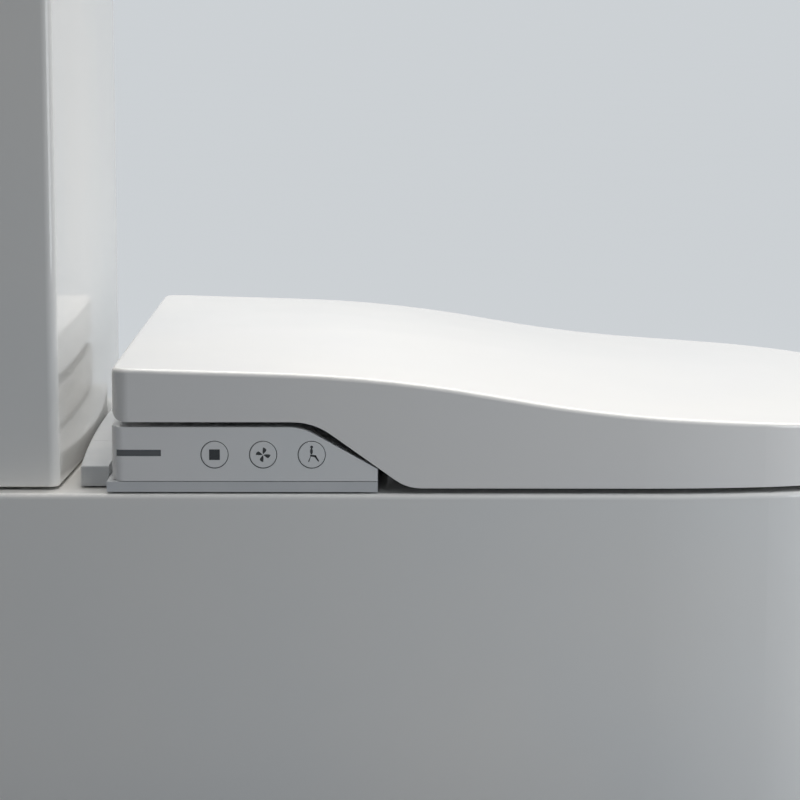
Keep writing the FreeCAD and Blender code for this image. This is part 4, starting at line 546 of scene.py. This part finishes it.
for name, outlines in SIGNS.items():
    middle, radius = face_of(name)
    points = []
    faces = []
    for outline in outlines:
        faces += print_faces(outline, sum(map(len, points)))
        points += print_points(outline, middle)
    key = name.replace("button_", "") + "_key"
    as_piece(name.replace("button", "sign"), np.concatenate(points), faces, ink, key, False)
print("printed", len(SIGNS), "signs, each", round(INK_THICK / MM, 2), "mm thick")

# %% [markdown]
# ## What the camera sees directly
#
# The picture has an even pale ground with no line where the floor ends. A real one is a curved sheet of
# paper. Here the floor and the backdrop both show one fixed pale level to rays that come from the camera,
# or that reach them by a mirrored or see-through surface. For all other rays they are much darker, so they
# throw little light up the sides.

# %% A switch for the kind of ray
def seen_directly(owner):
    """One for rays from the camera and for mirrored and see-through ones, and nothing for the rest."""
    ray = add(owner, "ShaderNodeLightPath", {}, {})
    either = add(owner, "ShaderNodeMath", {"operation": "MAXIMUM"},
                 {0: ray.outputs["Is Camera Ray"], 1: ray.outputs["Is Glossy Ray"]})
    any_of_three = add(owner, "ShaderNodeMath", {"operation": "MAXIMUM"},
                       {0: either.outputs[0], 1: ray.outputs["Is Transmission Ray"]})
    return any_of_three.outputs[0]


print("the switch joins camera, glossy and transmission rays")

# %% [markdown]
# ## Floor
#
# A big matt floor carries the object and keeps its shadow. For rays that see it directly, most of it glows
# at the pale level and the rest is paint, so a shadow still shows. For all other rays it is a mid grey.

# %% Floor
GROUND = 80.0
PALE = 0.68
GLOW_SHARE = 0.7
COOL_WHITE = "EEF3F7"
floor_paint = finish("matt_floor_paint", "8E9296", 0.8, IOR=1.5, layers=(
    {"mm": 400, "tint": ("8C9094", "90949A")},
))
painted = floor_paint.node_tree.nodes["Principled BSDF"]
shown = floor_paint.node_tree.nodes["Material Output"]
glow = add(floor_paint, "ShaderNodeEmission", {},
           {"Color": linear(COOL_WHITE), "Strength": PALE / GLOW_SHARE})
share = add(floor_paint, "ShaderNodeMath", {"operation": "MULTIPLY"},
            {0: seen_directly(floor_paint), 1: GLOW_SHARE})
mixed = add(floor_paint, "ShaderNodeMixShader", {},
            {0: share.outputs[0], 1: painted.outputs[0], 2: glow.outputs[0]})
floor_paint.node_tree.links.new(mixed.outputs[0], shown.inputs["Surface"])

floor_mesh = bpy.data.meshes.new("floor")
floor_corners = [(-GROUND, -GROUND, 0), (GROUND, -GROUND, 0), (GROUND, GROUND, 0), (-GROUND, GROUND, 0)]
floor_mesh.from_pydata(floor_corners, [], [(0, 1, 2, 3)])
floor_mesh.materials.append(floor_paint)
floor = bpy.data.objects.new("floor", floor_mesh)
bpy.context.scene.collection.objects.link(floor)
print("floor of", 2 * GROUND, "metres, with a glow of", GLOW_SHARE)

# %% [markdown]
# ## Backdrop
#
# The backdrop is the world round the object. It shows the same pale level directly, and it lights the
# object only a little, so that the soft boxes give the object its shape.

# %% Backdrop
SKY = 0.085
world = bpy.data.worlds.new("studio")
world.use_nodes = True
bpy.context.scene.world = world
backdrop = add(world, "ShaderNodeMix", {"data_type": "FLOAT"},
               {"Factor": seen_directly(world), "A": SKY, "B": PALE})
sky = world.node_tree.nodes["Background"]
sky.inputs["Color"].default_value = linear(COOL_WHITE)
world.node_tree.links.new(backdrop.outputs["Result"], sky.inputs["Strength"])
print("backdrop at", PALE, "and light from it at", SKY)

# %% [markdown]
# ## Light
#
# In the picture the light falls from above and a little behind, so the tops are nearly white and the side
# that faces the camera is a mid grey that grows lighter towards the front. One big soft box above and
# behind gives the tops, and a weak, small one from the front of the object gives the drift along the side.

# %% Soft boxes
def soft_box(name, at, aim, size, watts, colour):
    """A flat lamp that looks from one point at another."""
    data = bpy.data.lights.new(name, "AREA")
    data.shape = "RECTANGLE"
    data.size, data.size_y = size
    data.energy = watts
    data.color = linear(colour)[:3]
    lamp = bpy.data.objects.new(name, data)
    bpy.context.scene.collection.objects.link(lamp)
    lamp.location = at
    lamp.rotation_euler = (Vector(aim) - Vector(at)).to_track_quat("-Z", "Y").to_euler()


soft_box("box_above", at=(0.5, -0.1, 2.3), aim=(0, -0.05, 0.4), size=(2.4, 2.8), watts=66, colour="FFFCF8")
soft_box("box_front", at=(-0.7, -1.0, 0.7), aim=(-0.18, -0.3, 0.35), size=(0.7, 0.7), watts=5,
         colour="F6FAFF")
print(len(bpy.data.lights), "soft boxes")

# %% [markdown]
# ## Camera
#
# The picture was taken from the object's right side with a long lens, from a little above. The place and
# the focal length were worked out from points that show in it: the buttons, the corners of the unit, the
# rim's edge and both edges of the lid. The lens is level from side to side and has no shift.

# %% The camera
FILM = 36.0
FOCAL = 128.5
CAMERA_AT = (-1.8105, -0.0164, 0.7052)
TILT = 0.1527
TURN = 0.0052
lens = bpy.data.cameras.new("camera")
lens.sensor_width = FILM
lens.lens = FOCAL
camera = bpy.data.objects.new("camera", lens)
bpy.context.scene.collection.objects.link(camera)
camera.location = CAMERA_AT
camera.rotation_euler = (math.pi / 2 - TILT, 0, TURN - math.pi / 2)
bpy.context.scene.camera = camera
bpy.context.scene.view_settings.view_transform = "Standard"
print("camera at", CAMERA_AT, "with", FOCAL, "mm")
